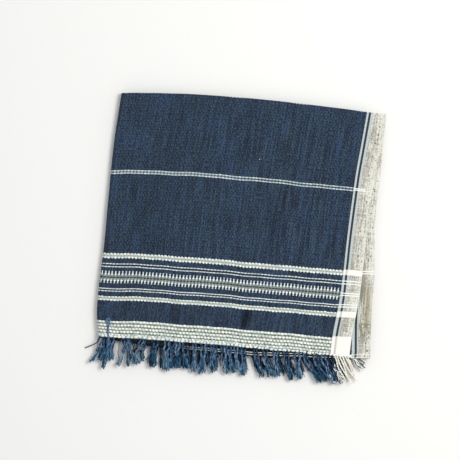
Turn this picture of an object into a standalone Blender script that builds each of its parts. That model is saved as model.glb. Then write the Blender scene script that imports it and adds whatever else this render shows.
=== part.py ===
"""Folded handwoven cotton bath towel with a knotted fringe at each warp end.

The towel is one woven cloth. It is folded crosswise in four, like an accordion, and the stack is then
folded once lengthwise, so that eight layers lie on each other with both selvedges on the same side.

Frame, in metres: X runs along the top fold towards the selvedges, +Y points away from the fringe and
Z is up. While it is made, the top left corner of the folded towel is at X = Y = 0. At the end all of
it moves together, so that the origin is at the bottom centre of its bounding box.
"""

import math
import random

import bmesh
import bpy
import numpy as np
from mathutils import Vector

# The cloth as it is woven
CLOTH_WIDTH = 0.760
CLOTH_THICKNESS = 0.0011
LAYER_PITCH = 0.0017
PANEL_COUNT = 4

# The lengthwise fold: the layers lie round it in rings. SKIN_RADIUS is that of its outer surface, which
# rests on the floor, so it is also the height of the fold's centre line.
INNER_RADIUS = LAYER_PITCH / 2
SKIN_RADIUS = INNER_RADIUS + (PANEL_COUNT - 1) * LAYER_PITCH + CLOTH_THICKNESS / 2
# The crosswise folds: the radius to the middle of the cloth where it turns back
TURN_RADIUS = LAYER_PITCH / 2

# Crosswise edges: how far each lies below the top left corner, first at the lengthwise fold. Each side of
# the fold, 1 above and -1 below, then has its depth at the selvedge, the bow that is added between them,
# and the bow's skew: below 1 it is fullest near the fold, above 1 near the selvedge.
CROSS_EDGES = {
    "outer_hem": {"fold": 0.3552, 1: (0.3547, -0.0016, 0.80), -1: (0.3470, -0.0010, 0.80)},
    "outer_top": {"fold": 0.0000, 1: (0.0000, -0.0073, 0.80), -1: (0.0015, -0.0045, 0.80)},
    "middle": {"fold": 0.3585, 1: (0.3557, 0.0100, 0.80), -1: (0.3602, 0.0068, 2.00)},
    "inner_top": {"fold": 0.0030, 1: (0.0025, -0.0055, 0.80), -1: (0.0040, -0.0040, 0.80)},
    "inner_hem": {"fold": 0.3500, 1: (0.3340, 0.0030, 0.80), -1: (0.3400, 0.0020, 0.80)},
}

# Panels from the outer hem to the inner one: (edge where it starts, edge where it ends)
PANELS = (
    ("outer_hem", "outer_top"),
    ("outer_top", "middle"),
    ("middle", "inner_top"),
    ("inner_top", "inner_hem"),
)

# Lengthwise fold: (depth below the top fold, how far it reaches out to the left)
LEFT_EDGE = (
    (0.000, 0.0000),
    (0.070, 0.0050),
    (0.160, 0.0068),
    (0.225, 0.0075),
    (0.290, 0.0103),
    (0.325, 0.0095),
    (0.356, 0.0045),
)

# Upper selvedge of the first and second panel: (depth below the top fold, x)
FIRST_SELVEDGE = (
    (0.000, 0.3853),
    (0.055, 0.3800),
    (0.090, 0.3765),
    (0.126, 0.3743),
    (0.187, 0.3713),
    (0.233, 0.3700),
    (0.266, 0.3684),
    (0.295, 0.3655),
    (0.325, 0.3620),
    (0.355, 0.3607),
)
SECOND_SELVEDGE = (
    (0.000, 0.3853),
    (0.060, 0.3850),
    (0.113, 0.3835),
    (0.135, 0.3820),
    (0.169, 0.3830),
    (0.208, 0.3855),
    (0.230, 0.3873),
    (0.276, 0.3876),
    (0.307, 0.3886),
    (0.348, 0.3915),
)
# How far the third and fourth panel are slid round the lengthwise fold: (depth, slide to the upper side)
THIRD_SLIDE = ((0.000, 0.0000), (0.180, 0.0060), (0.356, 0.0130))
FOURTH_SLIDE = ((0.000, 0.0000), (0.180, 0.0010), (0.356, 0.0040))

# How many steps the mesh takes: above, round and below the lengthwise fold, along each panel from the
# first to the fourth, and round a crosswise fold
UPPER_STATIONS = 12
BEND_STATIONS = 6
LOWER_STATIONS = 7
PANEL_STATIONS = (13, 12, 8, 8)
TURN_STATIONS = 5
# Edges sharper than this stay crisp in the shading, in degrees
SHARP_ANGLE = 50.0

# The stack is puffed up at its folds, and waves a little between them, as shares of a point's height
LEFT_PUFF = 0.06
TOP_PUFF = 0.08
BOTTOM_PUFF = 0.04
PUFF_REACH = 0.035
FOLDED_DEPTH = 0.356
WAVES = (
    # share of the height, wavelength along X, wavelength along Y, phase
    (0.026, 0.23, 0.90, 0.4),
    (0.018, 0.61, 0.27, 2.1),
    (0.012, 0.11, 0.45, 4.0),
)
# Soft swells of the top layer alone: (height, x, depth, half width along X, half length along Y)
SWELLS = (
    (0.0012, 0.085, 0.150, 0.030, 0.110),
    (0.0010, 0.205, 0.190, 0.026, 0.130),
    (0.0012, 0.300, 0.120, 0.034, 0.090),
    (0.0009, 0.150, 0.310, 0.045, 0.050),
    (0.0008, 0.270, 0.330, 0.040, 0.040),
)
# They fade out towards the left and top folds: where they start, and the length over which they grow
SWELL_START = 0.012
SWELL_FADE = 0.060

# The fringe: a narrow strip parted from each hem, with a tassel for each bundle of warp ends, and loose
# threads in place of tassels where the hem meets a selvedge. The counts are for one half of the width.
PART_GAP = 0.0004
STRIP_DEPTH = 0.0030
SELVEDGE_BAND = 0.027
SELVEDGE_THREADS = 6
TASSEL_COUNT = 24
# The share of a tassel's pitch that is fused to the strip
ROOT_SHARE = 0.45
# Each strand differs from the tables by up to this length, and this many degrees
LENGTH_SPREAD = 0.0020
LEAN_SPREAD = {"tassel": 3.5, "thread": 0.8}
# A strand leaves the strip with part of its lean, and has all of it further out
LEAN_START = 0.35

# Rings of a strand: (share of its length, half width, half height)
SHOWN_TASSEL = (
    (0.10, 0.0030, 0.00050),
    (0.35, 0.0022, 0.00050),
    (0.58, 0.0015, 0.00055),
    (0.66, 0.0022, 0.00110),
    (0.73, 0.0014, 0.00060),
    (0.88, 0.0029, 0.00070),
    (1.00, 0.0014, 0.00050),
)
COVERED_TASSEL = (
    (0.12, 0.0028, 0.00050),
    (0.34, 0.0018, 0.00050),
    (0.52, 0.0014, 0.00050),
    (0.66, 0.0020, 0.00080),
    (1.00, 0.0018, 0.00050),
)
LOOSE_THREAD = (
    (0.12, 0.0011, 0.00050),
    (0.34, 0.0008, 0.00045),
    (0.55, 0.0008, 0.00045),
    (0.76, 0.0008, 0.00045),
    (1.00, 0.0006, 0.00040),
)

# How the strands fan out: (share of the way from the lengthwise fold to the selvedge, degrees to the right)
LEAN = (
    (0.00, -29.0),
    (0.03, -14.0),
    (0.08, -4.0),
    (0.20, 2.0),
    (0.50, 5.0),
    (0.62, 16.0),
    (0.74, 19.0),
    (0.80, 23.0),
    (0.87, 34.0),
    (1.00, 38.0),
)
# How long they are: (the same share, length)
LENGTH = (
    (0.00, 0.0360),
    (0.25, 0.0395),
    (0.40, 0.0430),
    (0.75, 0.0435),
    (0.86, 0.0460),
    (1.00, 0.0480),
)

# The two fringes. Each has a row above the lengthwise fold, 1, and a row below it, -1. rest is the height
# where the middle of a strand ends up, or None where it lies on the floor. lean is the row's share of the
# fan, and rings its tassels' form.
FRINGES = {
    "fringe_outer": {
        "panel": 0,
        "hem": "outer_hem",
        "rest": {1: 0.0082, -1: None},
        "lean": {1: 1.0, -1: 0.2},
        "rings": {1: SHOWN_TASSEL, -1: COVERED_TASSEL},
        "seed": 11,
    },
    "fringe_inner": {
        "panel": 3,
        "hem": "inner_hem",
        "rest": {1: 0.0056, -1: 0.0031},
        "lean": {1: 0.3, -1: 0.5},
        "rings": {1: COVERED_TASSEL, -1: COVERED_TASSEL},
        "seed": 23,
    },
}
# A strand stays level until it is past the cloth below it by the margin, and then drops over this length
DROP_MARGIN = 0.0025
DROP_LENGTH = 0.0140

COLOURS = {
    # name: (red, green, blue, roughness)
    "cloth": (0.030, 0.052, 0.092, 0.92),
    "fringe": (0.018, 0.062, 0.150, 0.90),
}


def clear_scene():
    """Empty the scene, so that the towel is all that is in it."""
    for thing in list(bpy.data.objects):
        bpy.data.objects.remove(thing, do_unlink=True)


def smooth_step(value):
    """Rise smoothly from 0 to 1 as the value goes from 0 to 1."""
    value = min(max(value, 0.0), 1.0)
    return value * value * (3.0 - 2.0 * value)


def read_table(table, place):
    """Smooth value of a two-column table at a place, held level past its ends."""
    places = [row[0] for row in table]
    values = [row[1] for row in table]
    slopes = np.gradient(values, places)
    place = min(max(place, places[0]), places[-1])
    row = min(max(int(np.searchsorted(places, place)) - 1, 0), len(places) - 2)
    step = places[row + 1] - places[row]
    t = (place - places[row]) / step
    start = (1 + 2 * t) * (1 - t) ** 2 * values[row] + t * (1 - t) ** 2 * step * slopes[row]
    end = t * t * (3 - 2 * t) * values[row + 1] + t * t * (t - 1) * step * slopes[row + 1]
    return float(start + end)


def edge_depth(name, side, across):
    """Depth of a crosswise edge. side is 1 above the lengthwise fold and -1 below it."""
    at_fold = CROSS_EDGES[name]["fold"]
    at_selvedge, bow, skew = CROSS_EDGES[name][side or 1]
    return at_fold + (at_selvedge - at_fold) * across + bow * math.sin(math.pi * across ** skew)


def fold_x(depth):
    """X of the lengthwise fold's centre line."""
    return SKIN_RADIUS - read_table(LEFT_EDGE, depth)


def ring_radius(panel):
    """Radius of a panel's layer round the lengthwise fold. The first panel is the outermost."""
    return INNER_RADIUS + (PANEL_COUNT - 1 - panel) * LAYER_PITCH


def slide_of(panel, depth):
    """How far a panel is slid round the lengthwise fold, to the upper side."""
    if panel == 2:
        return read_table(THIRD_SLIDE, depth)
    if panel == 3:
        return read_table(FOURTH_SLIDE, depth)
    edge = read_table(FIRST_SELVEDGE if panel == 0 else SECOND_SELVEDGE, depth)
    return edge - fold_x(depth) - CLOTH_WIDTH / 2 + math.pi / 2 * ring_radius(panel)


def selvedge_x(panel, side, depth):
    """X of a selvedge. panel may lie between two whole numbers, on the turn that joins two panels."""
    whole = min(int(panel), PANEL_COUNT - 2)
    share = panel - whole
    slide = slide_of(whole, depth) * (1 - share) + slide_of(whole + 1, depth) * share
    return fold_x(depth) + CLOTH_WIDTH / 2 - math.pi / 2 * ring_radius(panel) + side * slide


def swell_of(x, depth):
    """Height that the top layer rises by itself."""
    height = 0.0
    for rise, at_x, at_depth, half_width, half_length in SWELLS:
        height += rise * math.exp(-((x - at_x) / half_width) ** 2 - ((depth - at_depth) / half_length) ** 2)
    from_left = smooth_step((x - SWELL_START) / SWELL_FADE)
    from_top = smooth_step((depth - SWELL_START) / SWELL_FADE)
    return height * from_left * from_top


def lift_of(x, depth):
    """Share by which the stack is puffed up at a place."""
    share = LEFT_PUFF * math.exp(-(x / PUFF_REACH) ** 2)
    share += TOP_PUFF * math.exp(-(depth / PUFF_REACH) ** 2)
    share += BOTTOM_PUFF * math.exp(-((depth - FOLDED_DEPTH) / PUFF_REACH) ** 2)
    for size, across, along, phase in WAVES:
        share += size * math.sin(2 * math.pi * (x / across + depth / along) + phase)
    return share


def settle(x, y, z, top_share):
    """Move a point of the even stack to where the uneven one has it. What is at height 0 stays there."""
    return (x, y, z * (1 + lift_of(x, -y)) + top_share * swell_of(x, -y))


def accordion(side, across):
    """Stations of the crosswise folds: (y, radius, normal along y, normal along the radius, panel)."""
    edges = {name: -edge_depth(name, side, across) for name in CROSS_EDGES}
    inset = CLOTH_THICKNESS / 2 + TURN_RADIUS
    edges["outer_top"] -= inset
    edges["middle"] += inset
    edges["inner_top"] -= inset
    stations = []
    for panel, (start, end) in enumerate(PANELS):
        facing = 1.0 if panel % 2 == 0 else -1.0
        for step in range(PANEL_STATIONS[panel] + 1):
            y = edges[start] + (edges[end] - edges[start]) * step / PANEL_STATIONS[panel]
            stations.append((y, ring_radius(panel), 0.0, facing, float(panel)))
        if panel == PANEL_COUNT - 1:
            break
        centre = ring_radius(panel) - TURN_RADIUS
        for step in range(1, TURN_STATIONS):
            angle = math.pi * step / TURN_STATIONS
            along_y = math.sin(angle) * facing
            along_radius = math.cos(angle)
            y = edges[end] + TURN_RADIUS * along_y
            radius = centre + TURN_RADIUS * along_radius
            share = panel + step / TURN_STATIONS
            stations.append((y, radius, along_y * facing, along_radius * facing, share))
    return stations


def round_the_fold(station, y, radius, panel):
    """Place a point on the even stack. station is (side, share across) or (0, angle on the bend)."""
    side, place = station
    centre = fold_x(-y)
    if side == 0:
        return (centre - radius * math.cos(place), y, SKIN_RADIUS + radius * math.sin(place))
    reach = selvedge_x(panel, side, -y) - centre
    return (centre + place * reach, y, SKIN_RADIUS + side * radius)


def bend_stations():
    """Stations on the lengthwise fold, from its upper end to its lower end."""
    return [(0, math.pi / 2 - math.pi * step / BEND_STATIONS) for step in range(BEND_STATIONS + 1)]


def round_stations():
    """Stations from the upper selvedge, round the lengthwise fold, to the lower selvedge."""
    upper = [(1, 1 - step / UPPER_STATIONS) for step in range(UPPER_STATIONS)]
    lower = [(-1, step / LOWER_STATIONS) for step in range(1, LOWER_STATIONS + 1)]
    return upper + bend_stations() + lower


def top_share_of(station, panel):
    """1 on the top layer, 0 on the others, and a blend on the turn next to it."""
    side, place = station
    if side < 0 or panel >= 1.0:
        return 0.0
    if side == 0 and place < 0:
        return 0.0
    return 1.0 - panel


def make_material(name):
    """Dull dyed cotton."""
    red, green, blue, roughness = COLOURS[name]
    material = bpy.data.materials.new(name)
    material.use_nodes = True
    shader = material.node_tree.nodes["Principled BSDF"]
    shader.inputs["Base Color"].default_value = (red, green, blue, 1.0)
    shader.inputs["Roughness"].default_value = roughness
    shader.inputs["Metallic"].default_value = 0.0
    return material


def make_object(name, mesh_tool, material):
    """Turn a finished bmesh into an object with its faces pointing out."""
    bmesh.ops.recalc_face_normals(mesh_tool, faces=mesh_tool.faces)
    mesh = bpy.data.meshes.new(name)
    mesh_tool.to_mesh(mesh)
    mesh_tool.free()
    mesh.materials.append(material)
    mesh.shade_smooth()
    mesh.set_sharp_from_angle(angle=math.radians(SHARP_ANGLE))
    piece = bpy.data.objects.new(name, mesh)
    bpy.context.scene.collection.objects.link(piece)
    return piece


def cloth_row(tool, station, face):
    """Vertices of one face of the cloth at one station round the lengthwise fold."""
    side, place = station
    offset = face * CLOTH_THICKNESS / 2
    row = []
    for y, radius, along_y, along_radius, panel in accordion(side, place if side else 0.0):
        point = round_the_fold(station, y + along_y * offset, radius + along_radius * offset, panel)
        row.append(tool.verts.new(settle(*point, top_share_of(station, panel))))
    return row


def make_cloth():
    """The whole woven cloth as one folded sheet."""
    tool = bmesh.new()
    front = [cloth_row(tool, station, 1) for station in round_stations()]
    back = [cloth_row(tool, station, -1) for station in round_stations()]
    last_column = len(front) - 1
    last_row = len(front[0]) - 1
    for i in range(last_column):
        for j in range(last_row):
            tool.faces.new([front[i][j], front[i + 1][j], front[i + 1][j + 1], front[i][j + 1]])
            tool.faces.new([back[i][j], back[i][j + 1], back[i + 1][j + 1], back[i + 1][j]])
    for j in (0, last_row):
        for i in range(last_column):
            tool.faces.new([front[i][j], back[i][j], back[i + 1][j], front[i + 1][j]])
    for i in (0, last_column):
        for j in range(last_row):
            tool.faces.new([front[i][j], front[i][j + 1], back[i][j + 1], back[i][j]])
    return make_object("cloth", tool, make_material("cloth"))


def row_of_cells(panel, hem, side):
    """Cells of a row of strands, from fold to selvedge: (share across where it ends, what grows)."""
    depth = edge_depth(hem, side, 1.0)
    band = SELVEDGE_BAND / (selvedge_x(panel, side, depth) - fold_x(depth))
    pitch = (1 - band) / TASSEL_COUNT
    gap = pitch * (1 - ROOT_SHARE) / 2
    cells = []
    for index in range(TASSEL_COUNT):
        start = index * pitch
        cells.append((start + gap, "none"))
        cells.append((start + pitch - gap, "tassel"))
    cells.append((1 - band, "none"))
    for index in range(SELVEDGE_THREADS):
        cells.append((1 - band + band * (index + 1) / SELVEDGE_THREADS, "thread"))
    return cells


def strip_stations(panel, hem):
    """Stations of a fringe's strip, and what grows from the cell after each of them."""
    upper = row_of_cells(panel, hem, 1)[::-1]
    lower = row_of_cells(panel, hem, -1)
    stations = [(1, share) for share, kind in upper]
    stations += bend_stations()
    stations += [(-1, share) for share, kind in lower]
    kinds = [kind for share, kind in upper]
    kinds += ["none"] * BEND_STATIONS
    kinds += [kind for share, kind in lower]
    return stations, kinds


def strip_rails(tool, fringe, stations):
    """Four corner vertices of the strip at each station: back upper, back lower, front upper, front lower.

    The back is next to the hem. The upper face is the one away from the lengthwise fold's centre line.
    """
    panel = fringe["panel"]
    rails = []
    for station in stations:
        side, place = station
        hem_y = -edge_depth(fringe["hem"], side, place if side else 0.0)
        corners = []
        for out in (PART_GAP, PART_GAP + STRIP_DEPTH):
            for face in (1, -1):
                radius = ring_radius(panel) + face * CLOTH_THICKNESS / 2
                point = round_the_fold(station, hem_y - out, radius, panel)
                corners.append(tool.verts.new(settle(*point, top_share_of(station, panel))))
        rails.append(corners)
    return rails


def drop_depth(across):
    """Depth from which the strands are clear of both middle folds and start to drop."""
    return max(edge_depth("middle", side, across) for side in (1, -1)) + DROP_MARGIN


def strand_rings(fringe, side, across, root, draw):
    """Corner points of a strand's rings, from its root to its tip."""
    shape = LOOSE_THREAD if root["kind"] == "thread" else fringe["rings"][side]
    length = read_table(LENGTH, across) + draw.uniform(-LENGTH_SPREAD, LENGTH_SPREAD)
    lean = read_table(LEAN, across) * fringe["lean"][side]
    lean += LEAN_SPREAD[root["kind"]] * draw.uniform(-1, 1)
    lean = math.radians(lean)
    rest = fringe["rest"][side]
    rings = []
    for share, half_width, half_height in shape:
        gone = length * share
        turned = lean * smooth_step(LEAN_START + share)
        x = root["x"] + gone * math.sin(turned)
        y = root["y"] - gone * math.cos(turned)
        if rest is None:
            z = half_height
        else:
            fallen = smooth_step((-y - drop_depth(across)) / DROP_LENGTH)
            z = root["z"] + (rest - root["z"]) * fallen
        wide_x = half_width * math.cos(turned)
        wide_y = half_width * math.sin(turned)
        top = settle(x, y, z + half_height, root["top_share"])[2]
        bottom = settle(x, y, z - half_height, root["top_share"])[2]
        if rest is None:
            bottom = 0.0
        rings.append((
            (x + wide_x, y + wide_y, top),
            (x - wide_x, y - wide_y, top),
            (x - wide_x, y - wide_y, bottom),
            (x + wide_x, y + wide_y, bottom),
        ))
    return rings


def grow_strand(tool, fringe, kind, cell, side, across, draw):
    """One strand, fused to the strip at the four corners of its cell."""
    middle = sum((corner.co for corner in cell), Vector()) / len(cell)
    root = {
        "kind": kind,
        "x": middle.x,
        "y": middle.y,
        "z": SKIN_RADIUS + side * ring_radius(fringe["panel"]),
        "top_share": top_share_of((side, across), fringe["panel"]),
    }
    ring = cell
    for corners in strand_rings(fringe, side, across, root, draw):
        following = [tool.verts.new(corner) for corner in corners]
        for k in range(4):
            tool.faces.new([ring[k], ring[(k + 1) % 4], following[(k + 1) % 4], following[k]])
        ring = following
    tool.faces.new(ring)


def make_fringe(name):
    """One fringe: its strip, folded with the hem, and the strands that grow from it."""
    fringe = FRINGES[name]
    draw = random.Random(fringe["seed"])
    stations, kinds = strip_stations(fringe["panel"], fringe["hem"])
    tool = bmesh.new()
    rails = strip_rails(tool, fringe, stations)
    back_upper, back_lower, front_upper, front_lower = range(4)
    for one, two in zip(rails, rails[1:]):
        tool.faces.new([one[back_upper], two[back_upper], two[front_upper], one[front_upper]])
        tool.faces.new([one[back_lower], one[front_lower], two[front_lower], two[back_lower]])
        tool.faces.new([one[back_upper], one[back_lower], two[back_lower], two[back_upper]])
    for end in (rails[0], rails[-1]):
        tool.faces.new([end[back_upper], end[front_upper], end[front_lower], end[back_lower]])
    for index, kind in enumerate(kinds):
        one, two = rails[index], rails[index + 1]
        if kind == "none":
            tool.faces.new([one[front_upper], two[front_upper], two[front_lower], one[front_lower]])
            continue
        side = stations[index][0]
        across = (stations[index][1] + stations[index + 1][1]) / 2
        if side > 0:
            cell = [one[front_upper], two[front_upper], two[front_lower], one[front_lower]]
        else:
            cell = [two[front_lower], one[front_lower], one[front_upper], two[front_upper]]
        grow_strand(tool, fringe, kind, cell, side, across, draw)
    return make_object(name, tool, make_material("fringe"))


def centre_on_origin(pieces):
    """Put the origin at the bottom centre of the bounding box of all the pieces."""
    points = np.array([vertex.co[:] for piece in pieces for vertex in piece.data.vertices])
    low = points.min(axis=0)
    high = points.max(axis=0)
    middle = (low + high) / 2
    for piece in pieces:
        for vertex in piece.data.vertices:
            vertex.co.x -= middle[0]
            vertex.co.y -= middle[1]


def main():
    """Make the folded towel."""
    clear_scene()
    pieces = [make_cloth()]
    for name in FRINGES:
        pieces.append(make_fringe(name))
    centre_on_origin(pieces)


main()
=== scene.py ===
"""Looks of the folded handwoven bath towel: its cloth, pattern weft, knotted fringes and loose yarns.

All lengths are in metres. Shapes are worked out in the towel's own frame: the top left corner of the
folded towel is at X = Y = 0, X runs along the top fold to the selvedges, and -Y towards the fringe.
PLACE then moves them to the CAD frame. On the cloth, u runs along the weft from the middle of its
width, and v along the warp from the hem that shows. A depth is how far below the top left corner a
place lies, and a face's side is 1 above the lengthwise fold and -1 below it.
"""

import math
import random
from functools import partialmethod
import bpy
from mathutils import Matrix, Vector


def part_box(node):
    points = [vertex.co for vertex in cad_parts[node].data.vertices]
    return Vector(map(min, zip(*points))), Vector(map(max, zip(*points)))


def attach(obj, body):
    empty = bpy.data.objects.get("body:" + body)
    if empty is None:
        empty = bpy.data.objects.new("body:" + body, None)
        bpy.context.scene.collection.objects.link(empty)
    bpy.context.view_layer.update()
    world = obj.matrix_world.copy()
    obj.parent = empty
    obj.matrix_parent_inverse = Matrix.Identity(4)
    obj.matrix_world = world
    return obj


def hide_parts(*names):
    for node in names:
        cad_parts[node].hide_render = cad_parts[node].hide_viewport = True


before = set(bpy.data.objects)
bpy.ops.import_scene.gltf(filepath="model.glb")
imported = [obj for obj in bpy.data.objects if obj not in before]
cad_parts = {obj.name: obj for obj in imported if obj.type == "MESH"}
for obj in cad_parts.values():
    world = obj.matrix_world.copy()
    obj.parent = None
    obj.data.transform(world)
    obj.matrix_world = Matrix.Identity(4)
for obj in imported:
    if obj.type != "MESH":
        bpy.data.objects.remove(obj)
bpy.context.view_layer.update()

from types import SimpleNamespace

import bpy
import numpy as np
from mathutils import Matrix, Vector

UP = (0.0, 0.0, 1.0)

# The cloth and its folds, as in the CAD model
CLOTH_WIDTH = 0.760
CLOTH_THICKNESS = 0.0011
LAYER_PITCH = 0.0017
PANEL_COUNT = 4
INNER_RADIUS = LAYER_PITCH / 2
SKIN_RADIUS = INNER_RADIUS + (PANEL_COUNT - 1) * LAYER_PITCH + CLOTH_THICKNESS / 2
TURN_RADIUS = LAYER_PITCH / 2
TURN_LENGTH = math.pi * TURN_RADIUS
TURN_INSET = CLOTH_THICKNESS / 2 + TURN_RADIUS

# Crosswise edges: the depth of each at the lengthwise fold, then on each side of it the depth at the
# selvedge, the bow between them and the bow's skew
CROSS_EDGES = {
    "outer_hem": {"fold": 0.3552, 1: (0.3547, -0.0016, 0.80), -1: (0.3470, -0.0010, 0.80)},
    "outer_top": {"fold": 0.0000, 1: (0.0000, -0.0073, 0.80), -1: (0.0015, -0.0045, 0.80)},
    "middle": {"fold": 0.3574, 1: (0.3557, 0.0100, 0.88), -1: (0.3602, 0.0068, 2.00)},
    "inner_top": {"fold": 0.0030, 1: (0.0025, -0.0055, 0.80), -1: (0.0040, -0.0040, 0.80)},
    "inner_hem": {"fold": 0.3500, 1: (0.3340, 0.0030, 0.80), -1: (0.3400, 0.0020, 0.80)},
}

# Panels from the hem that shows: (edge where it starts, edge where it ends, length, steps of its mesh)
PANELS = (
    ("outer_hem", "outer_top", 0.3566, 119),
    ("outer_top", "middle", 0.3600, 78),
    ("middle", "inner_top", 0.3550, 18),
    ("inner_top", "inner_hem", 0.3490, 18),
)
CLOTH_LENGTH = sum(panel[2] for panel in PANELS) + (PANEL_COUNT - 1) * TURN_LENGTH
FIRST_LENGTH = PANELS[0][2]
SECOND_START = FIRST_LENGTH + TURN_LENGTH
SECOND_LENGTH = PANELS[1][2]
MIDDLE_FOLD = SECOND_START + SECOND_LENGTH

# Lengthwise fold: (depth, how far it reaches out to the left)
LEFT_EDGE = (
    (0.000, 0.0000), (0.070, 0.0050), (0.160, 0.0068), (0.225, 0.0075),
    (0.290, 0.0103), (0.325, 0.0095), (0.356, 0.0045),
)
# Upper selvedge of the first and second panel: (depth, x)
FIRST_SELVEDGE = (
    (0.000, 0.3853), (0.055, 0.3800), (0.090, 0.3765), (0.126, 0.3743), (0.187, 0.3713),
    (0.233, 0.3700), (0.266, 0.3684), (0.295, 0.3655), (0.325, 0.3620), (0.355, 0.3607),
)
SECOND_SELVEDGE = (
    (0.000, 0.3853), (0.060, 0.3850), (0.113, 0.3835), (0.135, 0.3820), (0.169, 0.3830),
    (0.208, 0.3855), (0.230, 0.3873), (0.276, 0.3876), (0.307, 0.3886), (0.348, 0.3915),
)
# How far the third and fourth panel are slid round the lengthwise fold: (depth, slide to the upper side)
THIRD_SLIDE = ((0.000, 0.0000), (0.180, 0.0060), (0.356, 0.0130))
FOURTH_SLIDE = ((0.000, 0.0000), (0.180, 0.0010), (0.356, 0.0040))

# The stack's puffed folds and waves, as in the CAD model, as shares of its height
FOLDED_DEPTH = 0.356
LEFT_PUFF = 0.06
TOP_PUFF = 0.08
BOTTOM_PUFF = 0.04
PUFF_REACH = 0.035
WAVES = (
    # share, wavelength along X, wavelength along Y, phase
    (0.026, 0.23, 0.90, 0.4),
    (0.018, 0.61, 0.27, 2.1),
    (0.012, 0.11, 0.45, 4.0),
)
# Swells of the top layer: (x, depth, half width, half length, height)
SWELLS = (
    (0.085, 0.150, 0.030, 0.110, 0.0012),
    (0.205, 0.190, 0.026, 0.130, 0.0010),
    (0.300, 0.120, 0.034, 0.090, 0.0012),
    (0.150, 0.310, 0.045, 0.050, 0.0009),
    (0.270, 0.330, 0.040, 0.040, 0.0008),
)
SWELL_START = 0.012
SWELL_FADE = 0.060

# Steps of the cloth's mesh above, round and below the lengthwise fold, and round a crosswise fold, and the
# angle from which its edges are sharp
UPPER_STATIONS = 112
BEND_STATIONS = 10
LOWER_STATIONS = 28
TURN_STATIONS = 6
SHARP_ANGLE = math.radians(60)

# Creases of the top layer: (u, v, half width, half length, height, how much darker it is)
# How much darker is painted shade in a trough, and painted light on a ridge where it is negative
CREASES = (
    (0.2222, 0.040, 0.0060, 0.0172, -0.0011, 0.80),
    (0.1196, 0.040, 0.0065, 0.0165, -0.0006, 0.40),
    (0.0480, 0.040, 0.0065, 0.0150, -0.0004, 0.20),
    (0.1850, 0.305, 0.0075, 0.0600, -0.0006, 0.14),
    (0.2450, 0.185, 0.0100, 0.0550, -0.0006, 0.16),
    (0.2730, 0.158, 0.0040, 0.0300, 0.0004, -0.12),
    (0.2870, 0.165, 0.0042, 0.0350, -0.0004, 0.12),
    (0.0650, 0.180, 0.0300, 0.0600, -0.0005, 0.12),
    (0.0850, 0.300, 0.0120, 0.0450, -0.0004, 0.09),
    (0.1500, 0.160, 0.0120, 0.0500, 0.0004, -0.05),
    (0.3080, 0.300, 0.0050, 0.0450, -0.0004, 0.10),
    (0.3300, 0.295, 0.0045, 0.0500, -0.0003, 0.08),
    (0.2200, 0.300, 0.0100, 0.0500, 0.0004, -0.07),
    (0.2620, 0.290, 0.0060, 0.0450, -0.0003, 0.07),
    (0.0020, 0.230, 0.0120, 0.1300, 0.0002, -0.10),
)
# The column of a crease's painted shade, how much darker it is, and the power of its fading along v
CREASE_SHADE = 5
CREASE_POWER = 4
# Wrinkles of the second layer's selvedge: (distance from it, depth, half width, half length, how much darker)
# How much darker is painted shade in a wrinkle's pocket, and painted light along a pale streak where negative
SECOND_CREASE_SHADES = (
    (0.0165, 0.288, 0.0026, 0.016, -0.40),
    (0.0105, 0.306, 0.0016, 0.012, -0.15),
    (0.0170, 0.312, 0.0026, 0.005, 0.35),
    (0.0205, 0.329, 0.0036, 0.009, 0.45),
    (0.0120, 0.336, 0.0020, 0.007, 0.20),
    (0.0135, 0.262, 0.0022, 0.020, 0.15),
)
# Fine ripples: the sines in one, (along, across, start), then those of the top layer and of the second
# layer's selvedge, (height, length along the warp, length along the weft, start)
RIPPLE_SINES = ((1.0, 3.1, 1.0), (1.7, -5.3, 2.3), (2.9, 1.9, 4.1))
TOP_RIPPLES = ((0.00020, 0.050, 0.045, 1.0), (0.00010, 0.022, 0.012, 5.0))
SECOND_RIPPLES = ((0.00040, 0.0120, 0.009, 2.0), (0.00030, 0.0100, 0.003, 7.0))
# Where along u the top layer's relief starts and is full, and how the second layer's ends, from its selvedge
# and from the middle fold
RELIEF_START = (-0.004, 0.016)
SECOND_SHOWN = (0.030, 0.022)
SECOND_END = (MIDDLE_FOLD, MIDDLE_FOLD - 0.030)
# How high a white band rises from the cloth, and over what width
BAND_RISE = 0.00022
BAND_SOFTNESS = 0.002

# A darker tan patch on the second layer's selvedge: (share, v where it starts, v where it is full), where
# that ends, the share at its rim and how it starts and ends away from the rim, and how much darker it is,
# with ripples
TAN_PATCH_STARTS = ((0.35, 0.597, 0.601), (0.65, 0.608, 0.620))
TAN_PATCH_END = (0.696, 0.678)
TAN_PATCH_LEAST = 0.35
TAN_PATCH_RIM = (0.002, 0.005)
TAN_PATCH_SIDE = (0.0195, 0.0175)
TAN_PATCH_DARKER = 0.09
TAN_PATCH_RIPPLE = ((0.15, 0.014, 0.006, 3.0),)
# The painted shadow beside the first selvedge: width, and depths where it starts, is full, fades and ends
BESIDE_SHADE = 0.85
BESIDE_WIDTH = 0.0032
BESIDE_STRETCH = (0.212, 0.222, 0.266, 0.290)
# The shade under the hem: how far from the middle fold, and where along u, it starts and is full
SHADE_DARKER = 0.92
SHADE_REACH = (0.026, 0.020)
SHADE_SIDE = (0.352, 0.342)

# Weft lines across the whole width: distance from the hem
BAND_LINES = (0.0685, 0.0719, 0.1031, 0.1073)
TEETH_LINES = (0.0864, 0.0896)
FIELD_PAIRS = (0.2422, 0.3602, 0.4777, 0.5932)
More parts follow.
